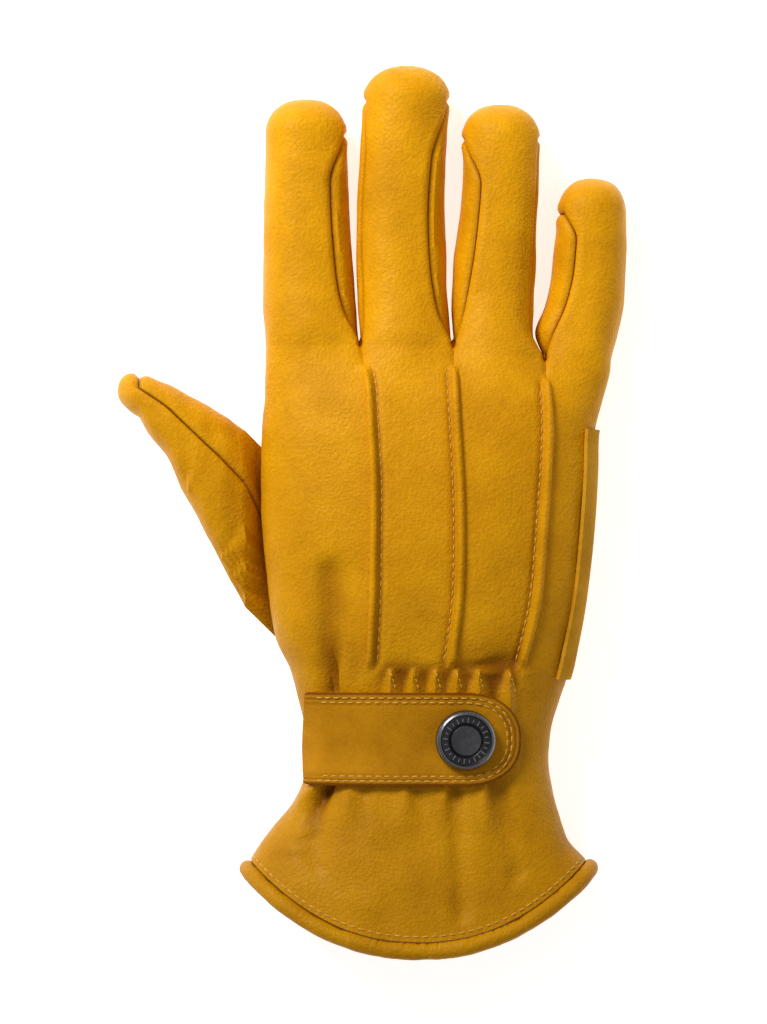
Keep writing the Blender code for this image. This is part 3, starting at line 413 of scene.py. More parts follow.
# Colours, as linear values
LEATHERS = (
    # name, roughness, grain, pores, paints crease shade, tone share, light, middle, deep
    ("golden_leather", 0.46, 0.36, 1250.0, True, 1.0,
     (0.87, 0.400, 0.003), (0.78, 0.342, 0.002), (0.67, 0.282, 0.001)),
    ("nubuck", 0.72, 0.22, 2600.0, True, 0.0,
     (0.55, 0.236, 0.003), (0.46, 0.192, 0.002), (0.38, 0.154, 0.001)),
    ("suede", 0.85, 0.30, 3000.0, False, 0.0,
     (0.66, 0.33, 0.020), (0.56, 0.26, 0.010), (0.45, 0.20, 0.006)),
)
# Painted shade: the colour that creases, seams, folds and dents are darkened toward
PAINTED_CREASE_SHADE = (0.42, 0.30, 0.14)
HOLLOW_SHADE = 7.0  # how much painted shade darkens the dents
SHADE_HEIGHT = 0.0008  # the depth of a crease at which the painted shade is full
METAL_DARK = (0.055, 0.055, 0.060)
METAL_BRIGHT = (0.42, 0.42, 0.44)
METAL_ROUGHNESS = 0.32

# Darker toward the cuff: Y and a share of the colour, from the cuff to the fingertips.
TONES = ((-0.125, 0.60), (-0.045, 0.70), (-0.010, 0.80), (0.045, 0.94), (0.125, 1.0))
THREAD_LIGHT = (0.74, 0.40, 0.045)
THREAD_DEEP = (0.50, 0.25, 0.02)

# The camera and the lamps: the photo shows 1024 pixels of 0.28 mm from above.
VIEW_HEIGHT = 1024 * 0.00028
VIEW_LEVEL = 0.014
VIEW_DISTANCE = 1.6
VIEW_X, VIEW_Y = 0.0032, -0.0008
LAMPS = (
    # name, place, size, watts
    ("key", (-0.74, 0.92, 0.98), 0.55, 21.5),
    ("fill", (0.9, -0.4, 1.3), 1.4, 1.8),
)
WORLD_LIGHT = 0.34
FLOOR_GLOW = 0.70
FLOOR_EDGE = 3.0
FLOOR_LEVEL = -0.0002
FLOOR_COLOUR = (0.92, 0.92, 0.92)


def smooth_read(places, values, at):
    """Reads a table between its rows along a smooth curve through them."""
    places = np.asarray(places, float)
    values = np.asarray(values, float)
    at = np.clip(np.asarray(at, float), places[0], places[-1])
    slopes = np.gradient(values, places)
    low = np.clip(np.searchsorted(places, at, side="right") - 1, 0, len(places) - 2)
    span = places[low + 1] - places[low]
    t = (at - places[low]) / span
    return ((2 * t**3 - 3 * t**2 + 1) * values[low] + (t**3 - 2 * t**2 + t) * span * slopes[low]
            + (3 * t**2 - 2 * t**3) * values[low + 1] + (t**3 - t**2) * span * slopes[low + 1])


def column(table, number, at):
    return smooth_read([row[0] for row in table], [row[number] for row in table], at)


def ease(start, end, at):
    """Rises smoothly from 0 at start to 1 at end."""
    t = np.clip((np.asarray(at, float) - start) / (end - start), 0, 1)
    return t * t * (3 - 2 * t)


def power(base, exponent):
    return np.sign(base) * np.abs(base) ** exponent


def angle_of(share, roundness):
    """The angle on a rounded section whose x is this share of the half width."""
    return math.acos(float(power(np.clip(share, -1, 1), roundness / 2)))


def along_to_y(along):
    """Y of a place on the trunk, before the hem's sag and the crotch drop."""
    along = np.asarray(along, float)
    return np.where(along < 0, along * CUFF_LENGTH, along * HAND_LENGTH)


def hem_share(along):
    """1 at the hem, fading to 0 under the strap."""
    return 1 - ease(HEM_ROW, HEM_FADE, along)


def floor_height(x, along):
    """The lowest the skin may lie, so that the patch and the hem rest on Z 0."""
    rise = PATCH_THICKNESS + SEAM_GAP
    near, far = PATCH_END_SLOPE
    outer, inner = (PATCH_PALM - slope for slope in PATCH_SIDE_SLOPE)
    beside = ease(outer, inner, np.asarray(x) / HAND_WIDTH)
    within = ease(PATCH_END - far, PATCH_END - near, along)
    within = within * (1 - ease(PATCH_START + near, PATCH_START + far, along))
    at_hem = (HEM_ROLL - LEATHER) / 2 * (1 - ease(*HEM_SLOPE, along))
    return np.maximum(rise * beside * within, at_hem)


def dent_depth(x, along):
    """Depth of the dents and folds of the back at a place."""
    total = 0.0
    x = np.asarray(x) / HAND_WIDTH
    stretch = HAND_LENGTH / HAND_WIDTH
    for x0, along0, x1, along1, reach, depth in DENTS:
        dx, dy = x1 - x0, (along1 - along0) * stretch
        t = np.clip(((x - x0) * dx + (along - along0) * stretch * dy) / (dx * dx + dy * dy), 0, 1)
        away = np.hypot(x - x0 - t * dx, (along - along0) * stretch - t * dy)
        total = total + depth * HAND_DEPTH * np.exp(-(away / reach) ** 2)
    return total


def trunk_section(along):
    """Left, right, top and widest height of the trunk at a place."""
    left = column(TRUNK, 1, along) * HAND_WIDTH
    right = column(TRUNK, 2, along) * HAND_WIDTH
    top = column(TRUNK, 3, along) * HAND_DEPTH
    return left, right, top, TRUNK_MIDDLE * HAND_DEPTH


def trunk_point(along, angle, dented=True):
    """X and Z of the trunk at an angle, 0 at its right edge and pi at its left."""
    left, right, top, middle = trunk_section(along)
    over = np.sin(angle) >= 0
    roundness = np.where(over, TOP_ROUNDNESS, UNDER_ROUNDNESS)
    reach = np.where(over, top - middle, middle + TRUNK_UNDER * HAND_DEPTH)
    x = (left + right) / 2 + (right - left) / 2 * power(np.cos(angle), 2 / roundness)
    z = middle + reach * power(np.sin(angle), 2 / roundness)
    dent = dent_depth(x, along) if dented else 0.0
    z = np.where(over, z - dent, np.maximum(z, floor_height(x, along)))
    return x, z


def trunk_y(along, x, strip, across):
    """Y of the trunk at a place, with the hem's sag and the crotch drop."""
    left, right, _, _ = trunk_section(along)
    share = (2 * x - left - right) / (right - left)
    sag = HEM_SAG * hem_share(along) * (1 - np.clip(np.abs(share), 0, 1) ** SAG_CURVE)
    drop = CROTCH_DROP[strip] * (1 - across) + CROTCH_DROP[strip + 1] * across
    return along_to_y(along) - sag - drop * HAND_LENGTH * ease(CROTCH_DROP_START, 1, along)


def tuck_x(line, along):
    return column(TUCK_LINES, line + 1, along) * HAND_WIDTH


def trunk_angle_at(along, x, over):
    """The angle at which the trunk's section passes over or under x."""
    left, right, _, _ = trunk_section(along)
    share = (2 * x - left - right) / (right - left)
    if over:
        return angle_of(share, TOP_ROUNDNESS)
    return 2 * math.pi - angle_of(share, UNDER_ROUNDNESS)


def strip_angles(along, strip, steps, over):
    """Angles of the columns of one finger's strip of the trunk, left to right."""
    sides = []
    for end in (0, 1):
        line = strip + end - 1
        outward = 1 if end == 0 else -1
        if 0 <= line <= 2:
            x = tuck_x(line, along)
            edge = trunk_angle_at(along, x, over)
            feet = [trunk_angle_at(along, x + outward * TUCK_WIDTH / 2 * n / TUCK_STEPS, over)
                    for n in range(1, TUCK_STEPS + 1)]
            sides.append([edge] + feet if over else [edge])
        elif end == 0:
            sides.append([palm_left_angle(along)] if not over else [math.pi + SIDE_SEAM])
        else:
            sides.append([2 * math.pi - SIDE_SEAM] if not over else [-SIDE_SEAM])
    start, stop = sides[0][-1], sides[1][-1]
    inner = [start + (stop - start) * n / steps for n in range(steps + 1)]
    return sides[0][:-1] + inner + sides[1][:-1][::-1]


def strip_shares(strip, steps, over):
    """How far across the strip each of those columns lies."""
    low = TUCK_STEP if over and strip > 0 else 0.0
    high = 1 - TUCK_STEP if over and strip < 3 else 1.0
    inner = [low + (high - low) * n / steps for n in range(steps + 1)]
    start = [low * n / TUCK_STEPS for n in range(TUCK_STEPS)] if low else []
    end = [high + (1 - high) * n / TUCK_STEPS for n in range(1, TUCK_STEPS + 1)] if high < 1 else []
    return start + inner + end


def palm_left_angle(along):
    """Where the palm's left boundary lies, which the thumb cuts into."""
    side = math.pi + SIDE_SEAM
    if not THUMB_END < along < THUMB_START:
        return side
    left = trunk_section(along)[0]
    bite = math.sin(math.pi * (along - THUMB_END) / (THUMB_START - THUMB_END)) ** THUMB_BITE_CURVE
    reached = trunk_angle_at(along, left + THUMB_BITE * HAND_WIDTH, False)
    return side + (reached - side) * bite


def finger_section(finger, along):
    """Left, right, top and the two back seams of a finger at a share of it."""
    table = FINGERS[finger][1]
    left, right, top, back_left, back_right = (column(table, n, along) for n in range(1, 6))
    return left * HAND_WIDTH, right * HAND_WIDTH, top * FINGER_DEPTH, back_left, back_right


def finger_point(finger, along, angle):
    left, right, top, _, _ = finger_section(finger, along)
    middle = FINGER_MIDDLE * FINGER_DEPTH + (top - FINGER_DEPTH) / 2
    over = np.sin(angle) >= 0
    reach = np.where(over, top - middle, middle + FINGER_UNDER * FINGER_DEPTH)
    x = (left + right) / 2 + (right - left) / 2 * power(np.cos(angle), 2 / FINGER_ROUNDNESS)
    z = middle + reach * power(np.sin(angle), 2 / FINGER_ROUNDNESS)
    return x, np.maximum(z, 0.0)


def finger_corners(finger, along):
    """Angles of a finger's four seams: back left, back right, palm right, palm left."""
    _, _, _, back_left, back_right = finger_section(finger, along)
    closing = float(ease(SEAM_CLOSING[0], SEAM_CLOSING[1], along))
    back_left += (-SEAM_END - back_left) * closing
    back_right += (SEAM_END - back_right) * closing
    corners = [angle_of(back_left, FINGER_ROUNDNESS), angle_of(back_right, FINGER_ROUNDNESS),
               -angle_of(PALM_SEAM, FINGER_ROUNDNESS), angle_of(PALM_SEAM, FINGER_ROUNDNESS) - math.pi]
    if FINGERS[finger][3] is None:
        corners[0] = math.pi + SIDE_SEAM
        corners[3] = SIDE_SEAM - math.pi
    if FINGERS[finger][4] is None:
        corners[1] = corners[2] = -SIDE_SEAM
    return corners


def pulled(points, start, end, fade=PULL_FADE):
    """Moves the two ends of a row onto the given points, fading toward its middle."""
    points = np.array(points, float)
    share = np.linspace(0, 1, len(points))[:, None]
    points += (1 - share) ** fade * (np.asarray(start) - points[0])
    points += share ** fade * (np.asarray(end) - points[-1])
    return points


def crotch_point(line, along, over):
    """A place on the valley that leads up to a crotch, on the back or the palm."""
    x = tuck_x(line, along)
    angle = trunk_angle_at(along, x, over)
    x, z = trunk_point(along, angle)
    y = trunk_y(along, x, line, 1.0)
    below_crotch = (1 - along) * HAND_LENGTH
    depth = KNUCKLE_DIP * (1 - np.clip(below_crotch / KNUCKLE_REACH, 0, 1)) ** 2
    return np.array([float(x), float(y), float(z - depth if over else z + PALM_VALLEY * depth)])


def knuckle_blend(above):
    """How much of a finger's section shows at this height above the crotch row."""
    return float(ease(-KNUCKLE_REACH, FINGER_BLEND, above))


def strip_row(strip, along, over):
    """One row of a finger's strip on the trunk, left to right."""
    steps = BACK_STEPS if over else (OUTER_PALM_STEPS if strip in (0, 3) else PALM_STEPS)
    angles = np.array(strip_angles(along, strip, steps, over))
    shares = np.array(strip_shares(strip, steps, over))
    blend = knuckle_blend((along - 1) * HAND_LENGTH)
    corners = finger_corners(strip, 0.0)
    first, last = (corners[0], corners[1]) if over else (corners[3] + 2 * math.pi, corners[2] + 2 * math.pi)
    x, z = trunk_point(along, angles)
    if blend > 0:
        fx, fz = finger_point(strip, 0.0, first + (last - first) * shares)
        x, z = x + blend * (fx - x), z + blend * (fz - z)
        if not over:
            z = np.maximum(z, floor_height(x, along))
    row = np.stack((x, trunk_y(along, x, strip, shares), z), axis=1)
    start = crotch_point(strip - 1, along, over) if strip > 0 else row[0]
    end = crotch_point(strip, along, over) if strip < 3 else row[-1]
    return pulled(row, start, end)


def finger_y(finger, share, across):
    """Y at a share of the way from the crotch row to the foot of the cap."""
    drop = CROTCH_DROP[finger] * (1 - across) + CROTCH_DROP[finger + 1] * across
    foot = HAND_LENGTH * (1 - drop)
    crotch = HAND_LENGTH * (1 - CROTCH_DROP[max(finger, 1)])
    end = crotch + FINGERS[finger][2] - FINGERTIP
    return foot + (end - foot) * share


def finger_ring(finger, share):
    """The four arcs of a finger at a share of its length below the cap."""
    length = FINGERS[finger][2]
    along = share * (1 - FINGERTIP / length)
    above = share * (length - FINGERTIP)
    corners = finger_corners(finger, along)
    blend = knuckle_blend(above)

    def arc(first, last, shares, across):
        x, z = finger_point(finger, along, first + (last - first) * shares)
        return np.stack((x, finger_y(finger, share, across), z), axis=1)

    back_shares = np.array(strip_shares(finger, BACK_STEPS, True))
    palm_steps = OUTER_PALM_STEPS if finger in (0, 3) else PALM_STEPS
    palm_shares = np.array(strip_shares(finger, palm_steps, False))
    side_shares = np.linspace(0, 1, SIDE_STEPS + 1)
    back = arc(corners[0], corners[1], back_shares, back_shares)
    palm = arc(corners[3], corners[2], palm_shares, palm_shares)
    if blend < 1:
        kept = (1 - blend) / (1 - knuckle_blend(0.0))
        fade = PULL_FADE + WALL_STEEPNESS * math.exp(-above / WALL_REACH)
        for over, row in ((True, back), (False, palm)):
            trunk = strip_row(finger, 1.0, over)
            mixed = row.copy()
            mixed[:, (0, 2)] += kept * (trunk - row)[:, (0, 2)]
            row[:] = pulled(mixed, row[0], row[-1], fade)
    right = arc(corners[1], corners[2], side_shares, np.ones_like(side_shares))
    left = arc(corners[0] - 2 * math.pi, corners[3], side_shares, np.zeros_like(side_shares))
    return back, right, palm, left


def web_row(line):
    """The middle of the web between two fingers, from the back to the palm."""
    top, under = (crotch_point(line, 1.0, over) for over in (True, False))
    share = np.linspace(0, 1, SIDE_STEPS + 1)
    row = top + (under - top) * share[:, None]
    row[:, 1] += WEB_BOW * 4 * share * (1 - share)
    return row


def grid_of(mesh, rows, layer=None, label=0):
    """Adds the vertices of a grid of points and the faces between its rows."""
    grid = [[mesh.verts.new(Vector([float(c) for c in point])) for point in row] for row in rows]
    for low, high in zip(grid, grid[1:]):
        for n in range(len(low) - 1):
            face = mesh.faces.new((low[n], low[n + 1], high[n + 1], high[n]))
            if layer is not None:
                face[layer] = label
    return grid


class Skin:
    """The closed surface of the glove, its faces named by panel."""

    def __init__(self):
        self.mesh = bmesh.new()
        self.panels = []
        self.layer = self.mesh.faces.layers.int.new("panel")
        self.relief = self.mesh.verts.layers.float.new("relief")

    def grid(self, rows, panel, relief=None):
        """Adds the faces between rows of points for one panel."""
        if panel not in self.panels:
            self.panels.append(panel)
        made = grid_of(self.mesh, rows, self.layer, self.panels.index(panel))
        if relief is not None:
            for vertices, heights in zip(made, relief):
                for vertex, height in zip(vertices, heights):
                    vertex[self.relief] = float(height)

    def weld(self):
        bmesh.ops.remove_doubles(self.mesh, verts=self.mesh.verts, dist=WELD_REACH)
        bmesh.ops.dissolve_degenerate(self.mesh, edges=self.mesh.edges, dist=TINY)
        bmesh.ops.recalc_face_normals(self.mesh, faces=self.mesh.faces)
        self.mesh.verts.ensure_lookup_table()
        self.mesh.faces.ensure_lookup_table()


def add_trunk(skin):
    for strip in range(4):
        for over, panel in ((True, "back_panel"), (False, "palm_panel")):
            rows = [strip_row(strip, along, over) for along in fine_rows()]
            relief = None
            if over:
                relief = [tuck_height(row[:, 0], along) for along, row in zip(fine_rows(), rows)]
            skin.grid(rows, panel, relief)


def add_fingers(skin):
    for finger, (_, _, _, left_panel, right_panel) in enumerate(FINGERS):
        rings = [finger_ring(finger, share) for share in FINGER_ROWS]
        foot = rings[-1]
        everything = np.vstack(foot)
        axis = (everything.min(0) + everything.max(0)) / 2
        axis[2] -= TIP_DROP * FINGER_DEPTH
        caps = []
        for share in CAP_ROWS:
            scale = (1 - share ** CAP_ROUNDNESS) ** (1 / CAP_ROUNDNESS)
            lift = np.array([0, FINGERTIP * share, 0])
            caps.append([axis + scale * (arc - axis) + lift for arc in foot])
        for side, over, panel in ((0, True, "back_panel"), (2, False, "palm_panel")):
            start = strip_row(finger, 1.0, over)
            skin.grid([start] + [ring[side] for ring in rings] + [cap[side] for cap in caps], panel)
        for side, panel, line in ((1, right_panel, finger), (3, left_panel, finger - 1)):
            if panel is None:
                continue
            rows = [web_row(line)] + [ring[side] for ring in rings]
            skin.grid(rows, panel)
            skin.grid([rings[-1][side]] + [cap[side] for cap in caps], "back_panel")


def thumb_ring(upper, lower, out, depth, count):
    """One closed row of the thumb: along its top from the upper edge, then under it."""
    turn = math.pi * np.arange(2 * count + 1) / count
    y = (upper + lower) / 2 + (upper - lower) / 2 * power(np.cos(turn), 2 / THUMB_ROUNDNESS)
    z = THUMB_MIDDLE * THUMB_DEPTH + depth / 2 * power(np.sin(turn), 2 / THUMB_ROUNDNESS)
    return np.stack((np.full_like(y, out), y, np.maximum(z, 0.0)), axis=1)


def add_thumb(skin):
    alongs = [a for a in fine_rows() if THUMB_END - TINY <= a <= THUMB_START + TINY][::-1]
    count = len(alongs) - 1
    back = [strip_row(0, along, True)[0] for along in alongs]
    palm = [strip_row(0, along, False)[0] for along in alongs]
    base = np.array(back + palm[::-1][1:])
    edge = trunk_section(THUMB_EDGE_AT)[0]
    rows = [base]
    for out in np.linspace(THUMB[0][0], THUMB[-1][0], THUMB_ROWS):
        upper, lower, depth = (float(column(THUMB, number, out)) for number in (1, 2, 3))
        ring = thumb_ring(upper * HAND_LENGTH, lower * HAND_LENGTH, edge - out * THUMB_REACH,
                          depth * THUMB_DEPTH, count)
        kept = float(np.interp(out, THUMB_ROOT_OUT, THUMB_ROOT))
        ring[:, 2] += kept * (base[:, 2] - ring[:, 2])
        rows.append(ring)
    foot = rows[-1]
    level = (THUMB_MIDDLE - THUMB_TIP_DROP) * THUMB_DEPTH
    tip = np.array([edge - THUMB_REACH, THUMB_TIP * HAND_LENGTH, level])
    middle = (foot.min(0) + foot.max(0)) / 2
    for share in CAP_ROWS[1:]:
        scale = (1 - share ** THUMB_CAP_ROUNDNESS) ** (1 / THUMB_CAP_ROUNDNESS)
        rows.append(middle + (tip - middle) * share + scale * (foot - middle))
    gusset_rows = THUMB_ROWS + 1
    total = 2 * count
    split = round(GUSSET_SHARE * count)
    body = [row[split:total - split + 1] for row in rows]
    front = [row[:split + 1] for row in rows]
    rear = [row[total - split:] for row in rows]
    skin.grid(body, "thumb_outer")
    for part in (front, rear):
        skin.grid(part[:gusset_rows], "thumb_gusset")
        skin.grid(part[gusset_rows - 1:], "thumb_outer")


def mitred_normals(mesh):
    """For each vertex, the way to move so that every face beside it moves by one."""
    result = []
    for vertex in mesh.verts:
        total = Vector()
        for face in vertex.link_faces:
            total += face.normal * face.calc_area()
        direction = total.normalized()
        shares = [max(direction.dot(face.normal), MITRE_FLOOR) for face in vertex.link_faces]
        result.append(direction * min(len(shares) / sum(shares), MITRE_LIMIT))
    return result


def edge_inward(edge, face):
    """The way into a face from one of its edges, in the face's plane."""
    a, b = (v.co for v in edge.verts)
    way = face.normal.cross(b - a).normalized()
    return way if way.dot(face.calc_center_median() - a) > 0 else -way


def hem_ring():
    """The panels' edge at the cuff, and the row above it, right round the mouth."""
    rows = []
    for along in (HEM_ROW, SECOND_ROW):
        row = []
        for strip in range(4):
            row += list(strip_row(strip, along, True))[:-1]
        for strip in (3, 2, 1, 0):
            row += list(strip_row(strip, along, False))[:0:-1]
        rows.append(np.array(row))
    return rows


def open_sheet(rows):
    """An open sheet over a grid of points, and the grid of its vertices."""
    sheet = bmesh.new()
    grid = grid_of(sheet, rows)
    sheet.normal_update()
    sheet.verts.index_update()
    return sheet, grid


def close_sheet(sheet, solid, under, over):
    """Closes a solid round an open sheet, given its lower and upper vertices."""
    for face in sheet.faces:
        places = [v.index for v in face.verts]
        solid.faces.new([over[n] for n in places])
        solid.faces.new([under[n] for n in reversed(places)])
    for edge in sheet.edges:
        if edge.is_boundary:
            loop = edge.link_loops[0]
            a, b = loop.vert.index, loop.link_loop_next.vert.index
            solid.faces.new((over[b], over[a], under[a], under[b]))
    sheet.free()
    bmesh.ops.recalc_face_normals(solid, faces=solid.faces)


def nearest_tree(places):
    tree = KDTree(len(places))
    for number, place in enumerate(places):
        tree.insert(place, number)
    tree.balance()
    return tree


def strap_point(x, y):
    """A place on the trunk under the strap, which bridges the dents."""
    along = y / HAND_LENGTH if y > 0 else y / CUFF_LENGTH
    angle = trunk_angle_at(along, x, True)
    px, pz = trunk_point(along, angle, dented=False)
    return np.array([float(px), y, float(pz)])


def strap_half_width(x):
    """Half the strap's width, which closes in a blunt round end."""
    start, tip = STRAP_ROUND * HAND_WIDTH, STRAP_TIP * HAND_WIDTH
    share = np.clip((x - start) / (tip - start), 0, 1)
    return STRAP_WIDTH / 2 * (1 - share ** STRAP_END_ROUNDNESS) ** (1 / STRAP_END_ROUNDNESS)


def turned(profile, sides):
    """A solid turned round Z from (radius, height) points that start and end on the axis."""
    solid = bmesh.new()
    rings = []
    for radius, height in profile:
        if radius == 0:
            rings.append([solid.verts.new((0, 0, height))] * sides)
            continue
        turns = [2 * math.pi * n / sides for n in range(sides)]
        rings.append([solid.verts.new((radius * math.cos(t), radius * math.sin(t), height)) for t in turns])
    for low, high in zip(rings, rings[1:]):
        for n in range(sides):
            after = (n + 1) % sides
            corners = []
            for vertex in (low[n], low[after], high[after], high[n]):
                if vertex not in corners:
                    corners.append(vertex)
            if len(corners) > 2:
                solid.faces.new(corners)
    bmesh.ops.recalc_face_normals(solid, faces=solid.faces)
    bmesh.ops.triangulate(solid, faces=solid.faces)
    return solid


def snap_seat():
    """Where the snap stands on the strap: its foot and the way it faces."""
    x, y = SNAP_X * HAND_WIDTH, STRAP_ALONG * HAND_LENGTH
    step = SNAP_DIAMETER / 2
    here, left, right = (strap_point(x + move, y) for move in (0, -step, step))
    down, up = strap_point(x, y - step), strap_point(x, y + step)
    facing = Vector(right - left).cross(Vector(up - down)).normalized()
    rise = max(facing.dot(Vector(point - here)) for point in (left, right, down, up))
    return Vector(here) + facing * (STRAP_CLEARANCE + STRAP_THICKNESS + SNAP_CLEARANCE + max(rise, 0)), facing


def fine_rows():
    """Rows of the trunk, close together at the gathers, which meet the thumb's two ends."""
    parts = [np.linspace(*part) for part in TRUNK_PARTS]
    return [float(v) for v in np.unique(np.concatenate(parts).round(6))]


def tuck_height(x, along):
    """Height of the three round tucks and of the gathers' pleats along a row."""
    height = np.zeros_like(x)
    started = ease(TUCK_START - TUCK_FADE[0], TUCK_START + TUCK_FADE[0], along)
    started = float(started * (1 - ease(TUCK_END - TUCK_FADE[1], TUCK_END, along)))
    if started > 0:
        for line in range(3):
            away = x - tuck_x(line, along)
            height += TUCK_HEIGHT * started * np.sqrt(np.clip(1 - (away / (TUCK_WIDTH / 2)) ** 2, 0, 1))
            stitched = away - (1 if line == 0 else -1) * TUCK_STITCH
            height -= TUCK_GROOVE * started * np.exp(-(stitched / TUCK_GROOVE_REACH) ** 2)
    down = (PLEAT_TIP - along) / (PLEAT_TIP - PLEAT_FOOT)
    fade = float(ease(*PLEAT_RISE, down) * (1 - ease(*PLEAT_FALL, down)))
    if fade > 0:
        share = x / HAND_WIDTH
        half = PLEAT_WIDTH[0] + (PLEAT_WIDTH[1] - PLEAT_WIDTH[0]) * min(max(down, 0.0), 1.0)
        near = np.min([np.abs(share - place) for place in PLEATS], axis=0) / half
        ridge = np.exp(-np.abs(near) ** RIDGE_CURVE) * float(ease(*RIDGE_RISE, down))
        spread = ease(PLEATS[0] - PLEAT_MARGIN, PLEATS[0], share)
        spread = spread * (1 - ease(PLEATS[-1], PLEATS[-1] + PLEAT_MARGIN, share))
        height += fade * (PLEAT_HEIGHT * ridge - PLEAT_HOLLOW * (1 - ridge)) * spread
    return height


def wrinkle_height(point):
    """Soft uneven leather, with tighter creases at the wrist and the thumb."""
    p = Vector(point)
    broad = noise.fractal(p * SWELL_SCALE, 1.0, 2.0, 3) * SWELL
    stretched = Vector([value * scale for value, scale in zip(p, GRAIN_SCALE)])
    fine = noise.fractal(stretched + Vector(GRAIN_SHIFT), 0.9, 2.0, 2) * GRAIN
    wrist = sum(share * math.exp(-((p.y - y) / reach) ** 2) for y, reach, share in WRIST_BANDS)
    ridged = 1 - abs(noise.noise(Vector((p.x * WRIST_SCALE[0], p.y * WRIST_SCALE[1], 2.0))))
    thumb = float(ease(*THUMB_SIDE, p.x))
    across, down = (p.x * x + p.y * y for x, y in THUMB_SCALES)
    creases = 1 - abs(noise.noise(Vector((across, down, 5.0))))
    wrist *= (ridged - WRIST_LEVEL) * WRIST_CREASE
    return broad + fine + wrist + thumb * (creases - THUMB_LEVEL) * THUMB_CREASE


def fold_height(x, y):
    """The named creases of the photo, as troughs beside raised rolls."""
    total = 0.0
    for x0, y0, x1, y1, reach, depth, roll in FOLDS:
        ax, ay, bx, by = (value * HAND_WIDTH for value in (x0, y0, x1, y1))
        dx, dy = bx - ax, by - ay
        long = dx * dx + dy * dy
        t = ((x - ax) * dx + (y - ay) * dy) / long
        fade = float(ease(*FOLD_RISE, t) * (1 - ease(*FOLD_FALL, t)))
        width = reach * HAND_WIDTH * (FOLD_WIDTH + FOLD_WIDENING * min(max(t, 0.0), FOLD_WIDEST))
        side = ((x - ax) * dy - (y - ay) * dx) / math.sqrt(long) / width
        if abs(side) < FOLD_SPAN:
            rise = roll * math.exp(-(side - FOLD_ROLL_AT) ** 2) - depth * math.exp(-side * side)
            total += fade * HAND_WIDTH * rise
    return total


def seam_profile(away):
    """Height of a panel beside its seam: pulled down at the edge, then a soft roll."""
    dip = SEAM_DIP * math.exp(-(away / SEAM_DIP_REACH) ** SEAM_DIP_CURVE)
    return SEAM_ROLL * math.exp(-((away - SEAM_ROLL_AT) / SEAM_ROLL_REACH) ** 2) - dip


def panel_mesh(skin, normals, name):
    """One leather panel as a thick sheet with rolled seams, tucks and wrinkles."""
    label = skin.panels.index(name)
    faces = [f for f in skin.mesh.faces if f[skin.layer] == label]
    inward, rim, border = {}, [], []
    for face in faces:
        for loop in face.loops:
            if sum(other[skin.layer] == label for other in loop.edge.link_faces) == 1:
                way = edge_inward(loop.edge, face)
                for vertex in loop.edge.verts:
                    inward.setdefault(vertex, []).append(way)
                rim.append((loop.vert, loop.link_loop_next.vert))
                if len(loop.edge.link_faces) > 1:
                    border += [loop.vert.co, (loop.vert.co + loop.link_loop_next.vert.co) / 2]
    tree = nearest_tree(border)
    solid = bmesh.new()
    shade = solid.verts.layers.float.new("painted_shade")
    outer, inner = {}, {}
    for vertex in {v for face in faces for v in face.verts}:
        move = Vector()
        ways = inward.get(vertex, [])
        total = sum(ways, Vector())
        if total.length > TINY:
            direction = total.normalized()
            reach = sum(max(direction.dot(way), 0.0) for way in ways) / len(ways)
            move = direction * SEAM_GAP / 2 / max(reach, CORNER_FLOOR)
        normal = normals[vertex.index]
        away = tree.find(vertex.co)[2]
        beside = seam_profile(away)
        facing = normal.normalized()
        fine = float(vertex[skin.relief])
        grain = wrinkle_height(vertex.co) * float(ease(0, GRAIN_FADE, away))
        upward = float(ease(*UPWARD, facing.z))
        height = beside * (0.5 + 0.5 * upward) + (fine + grain) * upward
        x, y, z = vertex.co
        fold = fold_height(x, y) * float(ease(*FOLD_FACING, facing.z)) * float(ease(0, FOLD_FADE, away))
        groove = min(fine, 0.0)
        both = groove * upward + fold
        if z < FLOOR_SKIN and height > 0:
            height = 0.0
        place = vertex.co + move
        lift = max(height - groove * upward, LEAST_HEIGHT) + both
        outer[vertex] = solid.verts.new(place + facing * lift)
        inner[vertex] = solid.verts.new(place - normal * LEATHER + facing * both)
        # Painted shade: grooves, seam dips, folds, low grain and the dents get a darker colour through the
        # painted_shade layer
        raised = beside + GROOVE_SHADE * groove + FOLD_SHADE * fold + GRAIN_SHADE * grain
        hollow = float(dent_depth(x, y / (HAND_LENGTH if y > 0 else CUFF_LENGTH))) * max(facing.z, 0.0)
        dark = HOLLOW_SHADE * hollow / HAND_DEPTH - raised / SHADE_HEIGHT
        outer[vertex][shade] = min(max(dark, -1), 1)
    for face in faces:
        solid.faces.new([outer[v] for v in face.verts])
        solid.faces.new([inner[v] for v in reversed(face.verts)])
    for a, b in rim:
        solid.faces.new((outer[b], outer[a], inner[a], inner[b]))
    return solid


def piece_from(solid, name, node, material, replaces=True, sharp=SHARP_ANGLE):
    mesh = bpy.data.meshes.new(name)
    solid.normal_update()
    solid.to_mesh(mesh)
    solid.free()
    mesh.shade_smooth()
    mesh.set_sharp_from_angle(angle=math.radians(sharp))
    mesh.materials.append(material)
    thing = bpy.data.objects.new(name, mesh)
    bpy.context.scene.collection.objects.link(thing)
    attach(thing, "root")
    if replaces:
        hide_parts(node)
    return thing


